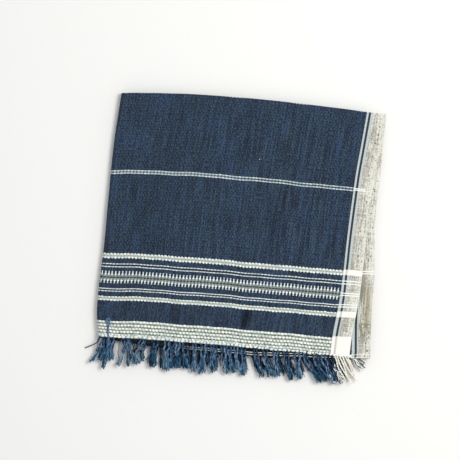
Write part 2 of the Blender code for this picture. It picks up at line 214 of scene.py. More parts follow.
# The pair at the cloth's middle: place and half spread at the middle of the width, how both change along
# the weft, how much further on it lies below the lengthwise fold, where along u it does, how strong it is at
# the middle of the width, dimmed there as painted shade, and how far from there it starts to show whole
MIDDLE_PAIR = 0.7147
MIDDLE_LEAN = 0.0064
MIDDLE_SPREAD = 0.0011
MIDDLE_OPENING = 0.0023
MIDDLE_LOWER = 0.0096
MIDDLE_TURN = (-0.03, 0.0)
MIDDLE_HALF_WIDTH = 0.00046
MIDDLE_SHADED = 0.03
MIDDLE_SHOWN = (0.085, 0.150)
# Half spreads of the other pairs: in the body, then across the first panel's selvedge and the other panels'
PAIR_SPREAD = 0.00195
CROSSING_SPREAD = 0.0011
SECOND_SPREAD = 0.0018
# Where along u the pale rungs between the first pair's lines fade
RUNGS_FADE = (0.10, 0.24)
# Bands of thick white weft: (start, end), as distances from the hem
WHITE_BANDS = ((-0.0050, 0.0266), (0.0536, 0.0619), (0.1160, 0.1239))
# The grounds between their raised rows, in the body, and where the hem band's ends
BAND_GROUNDS = ((-0.0050, 0.0249), (0.0551, 0.0606), (0.1163, 0.1222))
HEM_END = (0.0220, 0.0230)
# The middle band: its pale ground, the dark dashes in it, and its teeth, each (middle of the foot, tip)
MIDDLE_GROUND = (0.0838, 0.0918)
DARK_DASHES = 0.0880
DASH_HALF_WIDTH = 0.0011
TEETH = ((0.0835, 0.0798), (0.0925, 0.0968))

# Rows of floats: (distance from the hem, half length, half width, slant, shift in pitches)
HEM_ROWS = (
    (0.0043, 0.00222, 0.00158, 0.2, 0.00),
    (0.0088, 0.00226, 0.00160, 0.2, 0.50),
    (0.0134, 0.00226, 0.00160, 0.2, 0.00),
    (0.0184, 0.00226, 0.00160, 0.2, 0.50),
    (0.0236, 0.00228, 0.00162, 0.2, 0.00),
)
HEM_ROW_PITCH = (HEM_ROWS[-1][0] - HEM_ROWS[0][0]) / (len(HEM_ROWS) - 1)
BAND_ROWS = (
    (0.0558, 0.00200, 0.00140, 0.25, 0.00),
    (0.0602, 0.00215, 0.00092, 0.20, 0.27),
    (0.1166, 0.00190, 0.00150, 0.25, 0.30),
    (0.1218, 0.00195, 0.00150, 0.25, 0.00),
)
# Dark seams between those rows, painted shade between the two lines of a pair, and painted shade round a thin
# line, as half widths, and past a band
BAND_SEAMS = (0.0580, 0.1191)
SEAM_HALF_WIDTH = 0.0005
LINE_GAPS = (0.0702, 0.1052)
GAP_HALF_WIDTH = 0.0009
LINE_RIM_SHADE = 0.0016
BAND_RIM_SHADE = 0.0010
# How softly the edges of the bands and stripes end, and those of the wider strips
BAND_EDGE = 0.0003
STRIP_EDGE = 0.0004
# How the weft wanders: (height of the wave, wavelength along u, wavelength along v, phase)
DRIFTS = (
    (0.00040, 0.105, 0.40, 1.0),
    (0.00022, 0.046, 0.25, 3.4),
)
# Where the weft is pulled along the warp beyond that: (distance, then where along u it starts, is full, fades
# and has gone, then the same along v). A fade at PAST lies off the cloth
PAST = (9.0, 9.1)
PULLS = (
    (0.0016, (0.270, 0.345, *PAST), (0.018, 0.070, 0.125, 0.230)),
    (0.0014, (0.345, 0.362, *PAST), (0.004, 0.018, 0.072, 0.085)),
    (0.0010, (0.345, 0.362, *PAST), (0.150, 0.200, 0.270, 0.300)),
    (-0.0012, (-0.020, -0.010, 0.010, 0.090), (0.012, 0.022, 0.062, 0.100)),
    (-0.0010, (-0.020, -0.010, 0.012, 0.060), (0.190, 0.220, 0.260, 0.300)),
    (-0.0005, (0.110, 0.150, 0.260, 0.300), (0.095, 0.104, 0.125, 0.160)),
    (0.0006, (0.270, 0.310, *PAST), (0.200, 0.230, 0.260, 0.290)),
)

# A float: its pitch and height, how round it is seen from above, how domed, and the share of it that is sunk
FLOAT_PITCH = 0.0049
FLOAT_HEIGHT = 0.00055
FLOAT_ROUNDING = 0.42
FLOAT_DOME = 0.92
FLOAT_SUNK = 0.28
# A row of floats: how much of the turn at the lengthwise fold it covers, and its random scatter along u and
# along v, in length, width and tone
FOLD_COVER = 0.3
SCATTER_U = 0.00016
SCATTER_V = 0.00014
FLOAT_LENGTHS = (0.86, 1.10)
FLOAT_WIDTHS = (0.86, 1.08)
FLOAT_TONES = (-0.34, 0.14)
# Floats of the thin lines and of the first pair, and the flat ridges where they cross the selvedge
LINE_HEIGHT = 0.00042
LINE_HALF_WIDTH = 0.00070
LINE_HALF_LENGTH = 0.00195
PAIR_HALF_WIDTH = 0.00072
PAIR_HALF_LENGTH = 0.0023
PAIR_TILT = -0.20
TILT_START = (0.10, 0.22)
LINE_SLANT = 0.2
PAIR_SLANT = 0.3
LINE_SHIFT = 0.37
LINE_DULL = 0.10
PAIR_DULL = 0.22
RIDGE_HEIGHT = 0.00030
RIDGE_INSET = 0.0004
RIDGE_WIDER = 1.1
RIDGE_TONE = 0.18
PAIR_BARE = 0.0090
# Teeth: half sizes of the foot, of the tip and of its cap, the cap's height, how far in from the tip it is,
# and their slant
TOOTH_FOOT = (0.00160, 0.00135)
TOOTH_TIP_WIDTH = 0.00068
TOOTH_CAP = (1.55 * TOOTH_TIP_WIDTH, 0.00052)
CAP_HEIGHT = 0.00038
CAP_INSET = 0.0004
TOOTH_SLANT = 0.05
# How they vary: sideways strays of the foot and of the tip, sizes, and tones of the foot, the tip and the cap
FOOT_STRAY = 0.00014
TIP_STRAY = 0.00015
TOOTH_SIZES = (0.86, 1.06)
FOOT_TONES = (-0.25, 0.12)
TIP_TONES = (-0.28, 0.02)
CAP_TONES = (-0.35, -0.10)
# Loops past the hem: half lengths, half widths, how far they reach at the left and less at the right, where
# along u that changes, their scatter, the gaps between them and how far short of the selvedge they end
LOBE_LENGTHS = (0.0017, 0.0032)
LOBE_WIDTHS = (0.0013, 0.0018)
LOBE_REACH = 0.0019
LOBE_LESS = 0.0012
LOBE_CHANGE = (0.22, 0.28)
LOBE_SCATTER = (-0.0005, 0.0003)
LOBE_GAPS = (0.0001, 0.0014)
LOBE_END = 0.002
LOBE_TONE = -0.12

# Stripes along each selvedge, as distances from it: ecru up to the first, then white, navy, white
SELVEDGE_ECRU = 0.0182
SELVEDGE_WHITE = 0.0204
SELVEDGE_NAVY = 0.0235
SELVEDGE_WIDTH = 0.0277
# How far the navy stripe of the first panel drifts away from the edge above the bands, where along v, and
# where that panel ends
STRIPE_DRIFT = 0.0013
STRIPE_TURN = (0.050, 0.130)
FIRST_END = (0.357, 0.359)
# The ecru's pale rim and grey side, as distances from the selvedge where they fade and are full
PALE_RIM = (0.003, 0.010)
GREY_SIDE = (0.008, 0.016)
# Stains, painted shade along wrinkles and along one wrinkled line, and specks: (v where they start, are full,
# fade and have gone), or (middle, half, softness) along v or away from the selvedge
STAIN_STRETCH = (0.600, 0.630, 0.670, 0.690)
STAIN_SIDE = (0.0056, 0.0038, 0.0022)
WRINKLE_STRETCH = (0.666, 0.669, 0.694, 0.700)
WRINKLE_LINE = (0.6702, 0.0008, 0.0008)
WRINKLE_SIDE = (0.0080, 0.0075, 0.0030)
SPECK_SIDE = (0.0076, 0.0048, 0.0030)
# Where lines that cross a selvedge are faint: up to here along v, and up to here away from the selvedge
FADED_END = (0.550, 0.560)
FADED_SIDE = (0.006, 0.011)

# Cells of the spot weave: where they start, over what length, their pitch along the weft and the rows' pitch
# along the warp. Then the yarns' pitch and the height of the weave
SPOTS_START = 0.128
SPOTS_FADE = 0.003
CELL_PITCH = 0.0048
ROW_PITCH = 0.00393
YARN_PITCH = 0.0016
CLOTH_BUMP = 0.00040
# Noises of the cloth: (scale along u, scale along v, start, detail)
CLOTH_NOISES = {
    "warp": (640.0, 26.0, 3.0, 2.0),
    "edge": (420.0, 34.0, 17.0, 2.0),
    "broad": (95.0, 6.0, 8.0, 2.0),
    "long": (310.0, 15.0, 27.0, 1.0),
    "cloud": (30.0, 30.0, 1.0, 3.0),
    "fibre": (900.0, 900.0, 5.0, 1.0),
    "mottle": (600.0, 270.0, 2.0, 1.0),
    "weft": (40.0, 620.0, 6.0, 2.0),
    "wrinkle": (230.0, 120.0, 21.0, 1.0),
    "speck": (330.0, 250.0, 11.0, 1.0),
    "mark": (300.0, 220.0, 14.0, 1.0),
}
# Areas of the bake map for each part of the cloth, (left, bottom, width, height), and how far the upper and
# the lower half overlap there
BAKE_TOP = (0.01, 0.01, 0.77, 0.73)
BAKE_SECOND = (0.01, 0.76, 0.77, 0.23)
BAKE_UNDER = (0.80, 0.01, 0.19, 0.47)
BAKE_FRONT_REST = (0.80, 0.50, 0.19, 0.23)
BAKE_BACK_REST = (0.80, 0.75, 0.19, 0.24)
BAKE_LAP = 0.02

# The photo's frame: pixels to the towel's own frame
PIXEL = 0.001456
PHOTO_CORNER = (121.8, 93.1)
PHOTO_MIDDLE = (230.0, 230.0)
PHOTO_PIXELS = 460
PHOTO_TILT = math.radians(4.66)

# Tassels of the top row, left to right, in the photo's pixels: (root x, spread at the root, tip x, tip y,
# how full it is)
TOP_TASSELS = (
    (105.0, 1.6, 89.8, 362.0, 0.50),
    (107.2, 2.4, 101.0, 361.0, 1.00),
    (109.0, 1.6, 102.8, 368.5, 0.45),
    (111.8, 2.8, 109.0, 360.5, 1.05),
    (126.8, 2.0, 118.3, 366.0, 0.50),
    (129.0, 1.6, 128.2, 366.5, 0.42),
    (134.5, 9.5, 136.8, 365.0, 1.05),
    (144.5, 2.2, 142.0, 361.0, 0.40),
    (155.8, 2.6, 151.5, 367.0, 1.15),
    (167.0, 2.4, 166.8, 371.5, 1.05),
    (172.0, 2.6, 172.6, 368.5, 0.90),
    (177.6, 2.6, 177.6, 368.0, 0.90),
    (185.5, 3.0, 186.3, 369.0, 1.05),
    (194.4, 1.2, 194.0, 372.0, 0.90),
    (203.5, 3.2, 202.6, 374.0, 1.00),
    (212.2, 2.2, 211.5, 373.0, 0.70),
    (215.4, 1.4, 216.4, 371.0, 0.55),
    (222.5, 2.8, 228.5, 373.5, 0.90),
    (228.8, 2.0, 233.6, 373.0, 0.75),
    (235.5, 2.0, 238.8, 371.5, 0.62),
    (243.6, 2.6, 243.2, 375.8, 0.95),
    (255.3, 2.4, 263.3, 377.0, 0.62),
    (265.0, 2.4, 271.0, 376.5, 0.95),
    (275.0, 2.8, 278.8, 376.5, 1.00),
    (285.5, 2.4, 293.0, 381.0, 0.90),
    (296.5, 2.6, 300.7, 379.0, 1.00),
    (304.5, 2.6, 321.5, 382.0, 0.80),
    (314.0, 2.6, 327.5, 381.5, 0.90),
    (322.5, 2.6, 335.5, 383.0, 0.90),
    (329.5, 2.6, 341.0, 383.5, 0.90),
)
# Tassels thinner than this share lie in the top row alone
THIN_TASSEL = 0.60
# Thick ecru threads at the corner of the top hem, in the photo's pixels: (root x, tip x, tip y)
TOP_THREADS = (
    (333.8, 345.4, 382.0),
    (336.2, 350.8, 384.0),
    (338.8, 350.6, 381.5),
    (341.6, 356.6, 381.5),
    (344.6, 354.8, 375.5),
    (347.2, 353.2, 370.5),
)
# The inner hem's last bundle, past the corner, and a thread above it: (root x, tip x, tip y)
CORNER_BUNDLE = (346.5, 364.0, 369.0)
CORNER_THREAD = (350.0, 365.5, 364.0)
# White curls of the mixed bundle at the corner: (x, y, half width, half length), and their height
CORNER_CURLS = (
    (332.8, 363.6, 1.3, 2.4),
    (334.6, 368.0, 1.2, 2.6),
    (339.3, 373.7, 1.7, 2.6),
    (337.1, 377.0, 1.1, 2.4),
    (331.5, 376.9, 1.4, 2.8),
    (333.4, 379.7, 1.2, 2.2),
    (343.2, 382.0, 1.0, 2.4),
)
CURL_HEIGHT = 0.0112

# How far the lower rows are set to one side, in pixels, by the place of the root: they fill dense stretches
FILL = (
    (100.0, 0.0), (158.0, 0.0), (163.0, 4.6), (186.0, 4.6),
    (192.0, 0.6), (240.0, 0.6), (251.0, 4.8), (345.0, 4.4),
)
# How much higher than the top row their tips end, in pixels
TIP_RISE = (
    (100.0, 3.0), (160.0, 3.0), (166.0, 2.0), (188.0, 2.0), (195.0, 4.5),
    (245.0, 4.5), (254.0, 5.0), (300.0, 6.0), (345.0, 9.0),
)
# They are less full, and left of one root they stray by a smaller share
LOWER_FULL = 0.75
LOOSE_FROM = 160.0
CLOSE_SHARE = 0.35
# By how much their roots and tips stray to each side, and their tips up and down, in pixels. Their threads
# end to the left of the top ones and higher
ROOT_STRAY = 0.8
TIP_STRAY_ACROSS = 1
TIP_STRAY_DOWN = 1.5
THREAD_LEFT = 1.5
THREAD_HIGHER = (1.0, 4.0)
# Tones of the top row's tassels and of the lower ones', darker there as painted shade, and the mixed bundle's
# tone and share of undyed yarns
TOP_TONES = (0.36, 0.70)
LOWER_SHADED_TONES = (0.05, 0.36)
MIXED_LOOK = (0.06, 0.35)
# Rows of strands: (panel, hem, side, resting height of the middle, share of the fill, seed)
ROWS = {
    "shown": (0, "outer_hem", 1, 0.0082, 0.0, 12),
    "inner_upper": (3, "inner_hem", 1, 0.0056, 1.0, 7),
    "inner_lower": (3, "inner_hem", -1, 0.0031, -0.9, 9),
    "lowest": (0, "outer_hem", -1, 0.0012, 0.2, 5),
}

# Colours, linear: (red, green, blue)
NAVY_DARK = (0.0130, 0.0185, 0.0360)
NAVY_LIGHT = (0.0560, 0.0960, 0.1240)
BLUE_LIGHT = (0.0400, 0.0820, 0.1600)
ECRU_DARK = (0.330, 0.320, 0.270)
ECRU_LIGHT = (0.750, 0.740, 0.665)
WHITE = (0.850, 0.880, 0.840)
CREAM = (0.895, 0.880, 0.815)
WEFT_SHADE = (0.430, 0.535, 0.545)
LINE_WHITE = (0.600, 0.700, 0.720)
HEM_GROUND = (0.290, 0.330, 0.270)
BAND_GROUND = (0.430, 0.480, 0.420)
GAP_DARK = (0.050, 0.065, 0.045)
TOOTH_GROUND = (0.345, 0.400, 0.360)
STRIPE_NAVY = (0.0260, 0.0440, 0.0560)
STRIPE_WHITE = (0.560, 0.610, 0.600)
TAN = (0.345, 0.315, 0.200)
OLIVE = (0.225, 0.215, 0.165)
TAN_PATCH_LIGHT = (0.600, 0.590, 0.505)
SPECK = (0.045, 0.042, 0.030)
YARN_DARK = (0.0058, 0.0185, 0.0350)
YARN_BLUE = (0.0440, 0.1100, 0.2300)
YARN_TEAL = (0.0150, 0.0950, 0.1900)
YARN_HIGHLIGHT = (0.2350, 0.3350, 0.4300)
THREAD_SHADE = (0.680, 0.650, 0.560)
THREAD_LIGHT = (0.970, 0.950, 0.870)
FLOOR = (0.860, 0.855, 0.840)

# A strand: its least height above the floor, how deep its root sits in the hem, about where the hem lies in
# the photo, the widths that its place across is a share of, at the hem and at the folds, and how it drops
# past the middle folds
FLOOR_GAP = 0.00005
ROOT_INSET = 0.0006
HEM_DOWN = 340.0
ROOT_REACH = 0.355
FOLD_REACH = 0.37
DROP_MARGIN = 0.0025
DROP_LENGTH = 0.0140
# A tassel: shares of its length, at its knot, to each side of it and at its tuft's end, the points and the
# bend of its line, then its sizes
KNOT_SHARE = 0.56
KNOT_SCATTER = (-0.10, 0.08)
KNOT_REACH = 0.05
TUFT_END = 0.96
LINE_POINTS = 25
TASSEL_BEND = 0.30
BUNDLE_GAP = 0.0010
SLOW_KINK = 0.0012
FAST_KINK = 0.0005
PLY_RADIUS = 0.00098
TWIST_RADIUS = 0.00074
TWIST_PITCH = 0.0095
KNOT_RADIUS = 0.0017
KNOT_YARN = 0.0010
KNOT_ANGLE = 1.8 * math.pi
TUFT_RADIUS = 0.00076
TUFT_SPREAD = 0.0046
TUFT_LIFT = 0.0024
TUFT_CURL = 0.0011
CORE_START = 0.0008
CORE_SWELL = 0.0025
CORNER_SPREAD = 0.002
# Sides of the yarns' tubes, and of the cores' within the knots and tufts
YARN_SIDES = 5
CORE_SIDES = 6
# Its two bundles: how far they close towards the knot, the least thickness of a thin one's, how fast their
# slow and fast kinks go, and their tones. Of their plies, the painted shade at the root and how fast it
# fades, how much darker the first one is as painted shade and how much brighter the second as painted
# highlight
BUNDLE_CLOSING = 0.8
BUNDLE_LEAST = 0.6
SLOW_SPEEDS = (4, 8)
FAST_SPEEDS = (10, 16)
BUNDLE_TONES = (-0.20, 0.18)
ROOT_SHADE = 0.30
ROOT_FADE = 2.6
PLY_SHADE = 0.14
PLY_HIGHLIGHT = 0.34
# Its knot: how it narrows and how flat it is, its core's length and roundness, and their shades
KNOT_TAPER = 0.35
KNOT_FLATNESS = 0.72
KNOT_LENGTH = 1.3
KNOT_ROUNDNESS = 1.02
KNOT_DARKER = 0.05
KNOT_CORE_DARKER = 0.2
KNOT_TEAL = 0.5
# Its tuft: the core's shade, then how the ends vary in spread, lean, place, length, curl, lift, thickness and
# tone, and the share of them that carry a painted highlight, and how much brighter it makes them
CORE_DARKER = 0.32
CORE_TEAL = 0.8
TUFT_LEAST = 5
TUFT_START = 0.03
TUFT_SPREADS = (0.85, 1.15)
TUFT_LEANS = (-0.45, 0.45)
TUFT_PLACES = (-0.3, 0.3)
TUFT_LENGTHS = (0.87, 1.04)
TUFT_SHORTER = 0.06
TUFT_SPEEDS = (5, 12)
TUFT_LIFTS = (-0.5, 1.2)
TUFT_ARCH = 0.8
TUFT_RADII = (0.80, 1.30)
TUFT_TAPER = 0.2
TUFT_TONES = (-0.40, 0.34)
HIGHLIGHT_SHARE = 0.16
HIGHLIGHT_TONE = 0.50
# How finely a tassel is made that shows whole, and one below it. slipped counts its loose yarns
FINE = SimpleNamespace(
    steps=15, plies=2, ply_sides=5, ply_radius=PLY_RADIUS, twist=TWIST_RADIUS,
    tuft_steps=11, tuft_sides=4, tuft_count=29, slipped=2,
)
COARSE = SimpleNamespace(
    steps=9, plies=1, ply_sides=4, ply_radius=1.5 * PLY_RADIUS, twist=0.0,
    tuft_steps=6, tuft_sides=3, tuft_count=8, slipped=0,
)
# A yarn slipped out of a tassel: how far aside it starts and ends, its bow, its curl and how much lower it is
SLIPPED_BEND = 0.20
SLIPPED_STEPS = 14
SLIPPED_START = 0.0065
SLIPPED_END = 0.003
SLIPPED_BOW = 0.0018
SLIPPED_CURL = 0.0006
SLIPPED_DROP = 0.0006
SLIPPED_RADII = (0.0005, 0.0008)
SLIPPED_SHARES = (0.50, 0.92)
SLIPPED_SPEEDS = (8, 16)
SLIPPED_TONES = (-0.20, 0.40)
SLIPPED_SIDES = 4
# A thick loose thread, and a white curl at the corner
THREAD_BEND = 0.10
THREAD_STEPS = 16
THREAD_WANDER = 0.0010
THREAD_RADIUS = 0.00085
THREAD_TWIST = 0.00060
THREAD_TURNS = 5
THREAD_SPEEDS = (4, 9)
THREAD_TAPER = 0.35
THREAD_TONES = (-0.1, 0.2)
CURL_RADIUS = 0.0007
CURL_STEPS = 16
CURL_WAVE = 0.0010
# A stray blue yarn over the hem band, with heights of its middle above the cloth, and a dark loose end at
# its left, with heights above the floor: (x, y, height), in the photo's pixels and in metres
STRAY_YARN = (
    (110.6, 320.6, 0.0009), (109.2, 318.4, 0.0012), (107.2, 319.2, 0.0016), (107.4, 321.4, 0.0016),
    (109.6, 321.6, 0.0012), (109.0, 324.5, 0.0008), (108.2, 329.0, 0.0008), (108.6, 334.0, 0.0008),
    (109.2, 338.4, 0.0008), (109.0, 342.0, 0.0004),
)
STRAY_STEPS = 44
STRAY_RADIUS = 0.0012
LOOP_RADIUS = 0.0020
LOOSE_END = (
    (101.5, 334.0, 0.0130), (99.7, 336.5, 0.0122), (98.4, 339.5, 0.0100), (96.4, 342.6, 0.0072),
    (92.5, 344.8, 0.0040), (88.5, 346.4, 0.0016), (85.0, 347.8, 0.0008),
)
LOOSE_STEPS = 24
LOOSE_RADIUS = 0.0008
# A fleck of pale lint on the field, (x, y)
LINT = (259.5, 159.5)
LINT_HALF_LENGTH = 0.0007
LINT_RADIUS = 0.00035

# Floor, light and camera
FLOOR_HALF = 6.0
FLOOR_DROP = 0.0001
LIGHT_SIZE = 0.9
LIGHT_POWER = 34.0
LIGHT_PLACE = Vector((1.05, 0.55, 2.10))
LIGHT_COLOUR = (1.0, 0.985, 0.955)
ROOM_COLOUR = (0.97, 0.985, 1.0, 1.0)
ROOM_STRENGTH = 0.68
LENS = 220.0
CAMERA_REACH = 50.0
GLOSS = 0.18
WEFT_BUMP = 0.0002
YARN_BUMP = 0.0003
FLOOR_BUMP = 0.0001


def smooth_step(value):
    """Rise smoothly from 0 to 1 as the value goes from 0 to 1."""
    value = np.clip(value, 0.0, 1.0)
    return value * value * (3.0 - 2.0 * value)


def rise_of(value, start, full):
    """Rise smoothly from 0 to 1 from one value to another, for numbers or for a formula."""
    if isinstance(value, Formula):
        return value.rise(start, full)
    return smooth_step((value - start) / (full - start))


def window_of(value, start, full, fades, gone):
    """Rise smoothly from 0 to 1 and fall back to 0, for numbers or for a formula."""
    return rise_of(value, start, full) * (1.0 - rise_of(value, fades, gone))


def read_table(table, place):
    """Smooth values of a two-column table at some places, held level past its ends."""
    places, values = np.array(table).T
    slopes = np.gradient(values, places)
    place = np.clip(place, places[0], places[-1])
    row = np.clip(np.searchsorted(places, place) - 1, 0, len(places) - 2)
    step = places[row + 1] - places[row]
    gone = (place - places[row]) / step
    left = 1 - gone
    start = (1 + 2 * gone) * left ** 2 * values[row] + gone * left ** 2 * step * slopes[row]
    end = gone ** 2 * (3 - 2 * gone) * values[row + 1] - gone ** 2 * left * step * slopes[row + 1]
    return start + end


def bumps(table, x, y, value=4, power=2):
    """Sum of smooth bumps, each (x, y, half width, half length, values). value is the column to add."""
    total = 0.0 * x
    for bump in table:
        away = ((x - bump[0]) / bump[2]) ** 2 + ((y - bump[1]) / bump[3]) ** power
        total = total + bump[value] * np.exp(-away)
    return total


def ripples(table, along, across):
    """Sum of smooth uneven waves, each (height, length along, length across, start)."""
    total = 0.0
    for height, length, width, start in table:
        for by_along, by_across, by_start in RIPPLE_SINES:
            turn = by_along * along / length + by_across * across / width + by_start * start
            total = total + height / len(RIPPLE_SINES) * np.sin(turn)
    return total


def edge_depth(name, side, across):
    """Depth of a crosswise edge on a side, at a share of the way from the lengthwise fold."""
    at_fold = CROSS_EDGES[name]["fold"]
    at_selvedge, bow, skew = CROSS_EDGES[name][side or 1]
    return at_fold + (at_selvedge - at_fold) * across + bow * np.sin(math.pi * across ** skew)


def fold_x(depth):
    """X of the lengthwise fold's centre line."""
    return SKIN_RADIUS - read_table(LEFT_EDGE, depth)


def ring_radius(panel):
    """Radius of a panel's layer round the lengthwise fold."""
    return INNER_RADIUS + (PANEL_COUNT - 1 - panel) * LAYER_PITCH


def slide_of(panel, depth):
    """How far a whole panel is slid round the lengthwise fold, to the upper side."""
    if panel > 1:
        return read_table(THIRD_SLIDE if panel == 2 else FOURTH_SLIDE, depth)
    edge = read_table(FIRST_SELVEDGE if panel == 0 else SECOND_SELVEDGE, depth)
    return edge - fold_x(depth) - CLOTH_WIDTH / 2 + math.pi / 2 * ring_radius(panel)


def blended_slide(panel, depth):
    """The slide at places that may lie on the turn between two panels."""
    whole = np.minimum(panel.astype(int), PANEL_COUNT - 2)
    share = panel - whole
    slides = np.array([slide_of(index, depth) for index in range(PANEL_COUNT)])
    columns = np.arange(len(depth))
    return slides[whole, columns] * (1 - share) + slides[whole + 1, columns] * share


def settle(x, depth, z, top_share):
    """Height on the puffed and swollen stack of a point of the even one."""
    lift = 0.0
    puffs = ((LEFT_PUFF, x), (TOP_PUFF, depth), (BOTTOM_PUFF, depth - FOLDED_DEPTH))
    for size, away in puffs:
        lift = lift + size * np.exp(-((away / PUFF_REACH) ** 2))
    for size, across, along, phase in WAVES:
        lift = lift + size * np.sin(2 * math.pi * (x / across + depth / along) + phase)
    swell = bumps(SWELLS, x, depth)
    for place in (x, depth):
        swell = swell * smooth_step((place - SWELL_START) / SWELL_FADE)
    return z * (1 + lift) + top_share * swell


def pull_of(u, v):
    """How far the weft is pulled along the warp at some places, for numbers or for formulas."""
    pull = 0.0
    for size, across, along in PULLS:
        pull = pull + size * window_of(u, *across) * window_of(v, *along)
    return pull


def drift_of(u, v):
    """How far the weft strays along the warp from its even place."""
    drift = pull_of(u, v)
    for size, across, along, phase in DRIFTS:
        drift = drift + size * np.cos(2 * math.pi * (u / across + v / along) + phase)
    return drift


def top_relief(u, v):
    """Creases, raised bands and fine waves of the top layer, as a height."""
    height = bumps(CREASES, u, v, power=CREASE_POWER) + ripples(TOP_RIPPLES, v, u)
    for start, end in WHITE_BANDS:
        edges = rise_of(v, start, start + BAND_SOFTNESS) * rise_of(v, end, end - BAND_SOFTNESS)
        height = height + BAND_RISE * edges
    return height * rise_of(u, *RELIEF_START)


def second_relief(from_selvedge, v):
    """Wrinkles of the second layer's selvedge, where it shows beside the first."""
    shown = rise_of(from_selvedge, *SECOND_SHOWN) * rise_of(v, *SECOND_END)
    return ripples(SECOND_RIPPLES, v, from_selvedge) * shown


def accordion(side, across):
    """Rows of the crosswise folds: arrays of y, radius, normal along y and radius, panel and v."""
    edges = {name: -edge_depth(name, side, across) for name in CROSS_EDGES}
    edges["outer_top"] -= TURN_INSET
    edges["middle"] += TURN_INSET
    edges["inner_top"] -= TURN_INSET
    rows = []
    v = 0.0
    for panel, (start, end, length, steps) in enumerate(PANELS):
        facing = 1.0 if panel % 2 == 0 else -1.0
        share = np.linspace(0, 1, steps + 1)
        level = np.ones(steps + 1)
        y = edges[start] + (edges[end] - edges[start]) * share
        radius = level * ring_radius(panel)
        rows.append((y, radius, level * 0, level * facing, level * panel, v + length * share))
        v += length
        if panel == PANEL_COUNT - 1:
            break
        share = np.arange(1, TURN_STATIONS) / TURN_STATIONS
        along_y = np.sin(math.pi * share) * facing
        along_radius = np.cos(math.pi * share)
        y = edges[end] + TURN_RADIUS * along_y
        radius = ring_radius(panel) - TURN_RADIUS + TURN_RADIUS * along_radius
        turned = v + TURN_LENGTH * share
        rows.append((y, radius, along_y * facing, along_radius * facing, panel + share, turned))
        v += TURN_LENGTH
    return np.concatenate(rows, axis=1)


def round_stations():
    """Stations from the upper to the lower selvedge: a side and a share, or 0 and an angle in the fold."""
    upper = [(1, 1 - step / UPPER_STATIONS) for step in range(UPPER_STATIONS)]
    bend = [(0, math.pi / 2 - math.pi * step / BEND_STATIONS) for step in range(BEND_STATIONS + 1)]
    lower = [(-1, step / LOWER_STATIONS) for step in range(1, LOWER_STATIONS + 1)]
    return upper + bend + lower


def is_upper(station):
    """Whether a station lies on the upper half."""
    side, place = station
    return (side or place) >= 0


def cloth_column(station, face):
    """Points and cloth places, (x, y, z) and (u, v), of one face at one station."""
    side, place = station
    y, middle_radius, along_y, along_radius, panel, v = accordion(side, place if side else 0.0)
    y = y + along_y * face * CLOTH_THICKNESS / 2
    radius = middle_radius + along_radius * face * CLOTH_THICKNESS / 2
    centre = fold_x(-y)
    slide = blended_slide(panel, -y)
    if side == 0:
        x = centre - radius * math.cos(place)
        z = SKIN_RADIUS + radius * math.sin(place)
        u = middle_radius * place - slide
    else:
        quarter = math.pi / 2 * middle_radius
        reach = CLOTH_WIDTH / 2 - quarter + side * slide
        x = centre + place * reach
        z = SKIN_RADIUS + side * radius
        u = side * (place * reach + quarter) - slide
    on_top = 1.0 if is_upper(station) else 0.0
    top_share = on_top * np.clip(1.0 - panel, 0.0, 1.0)
    second = on_top * np.clip(1.0 - np.abs(panel - 1.0), 0.0, 1.0)
    z = settle(x, -y, z, top_share) + top_share * top_relief(u, v)
    z = z + second * second_relief(CLOTH_WIDTH / 2 - u, v)
    return np.stack([x, y, z], axis=1), np.stack([u, v], axis=1)


def on_first_panel(u, v, out):
    """Points on the outer face of the first panel, raised by out. Works above and round the left fold."""
    level = ring_radius(0)
    quarter = math.pi / 2 * level
    share = v / FIRST_LENGTH
    depth = (1 - share) * FOLDED_DEPTH
    for _ in range(4):
        arc = u + slide_of(0, depth)
        reach = read_table(FIRST_SELVEDGE, depth) - fold_x(depth)
        across = np.clip((arc - quarter) / reach, 0.0, 1.0)
        low = edge_depth("outer_hem", 1, across)
        high = edge_depth("outer_top", 1, across) + TURN_INSET
        depth = low + (high - low) * share
    radius = level + CLOTH_THICKNESS / 2 + out
    angle = np.minimum(arc / level, math.pi / 2)
    x = fold_x(depth) - radius * np.cos(angle) + np.maximum(arc - quarter, 0.0)
    z = SKIN_RADIUS + radius * np.sin(angle)
    z = settle(x, depth, z, 1.0) + top_relief(u, v)
    return np.stack([x, -depth, z], axis=-1)


def from_photo(across_px, down_px):
    """A place in the photo, in its pixels, as (x, depth) in the towel's own frame."""
    right = across_px - PHOTO_CORNER[0]
    down = down_px - PHOTO_CORNER[1]
    x = right * math.cos(PHOTO_TILT) + down * math.sin(PHOTO_TILT)
    depth = down * math.cos(PHOTO_TILT) - right * math.sin(PHOTO_TILT)
    return x * PIXEL, depth * PIXEL


def add_node(tree, kind, inputs, output=0, **settings):
    """The output of a new shader node. An input is a number, a colour, a formula or an output."""
    node = tree.nodes.new("ShaderNode" + kind)
    for key, value in settings.items():
        setattr(node, key, value)
    for key, value in inputs.items():
        if isinstance(value, Formula):
            value = value.socket
        if isinstance(value, bpy.types.NodeSocket):
            tree.links.new(value, node.inputs[key])
        elif isinstance(value, tuple):
            node.inputs[key].default_value = (*value, 1.0)
        else:
            node.inputs[key].default_value = value
    return node.outputs[output]


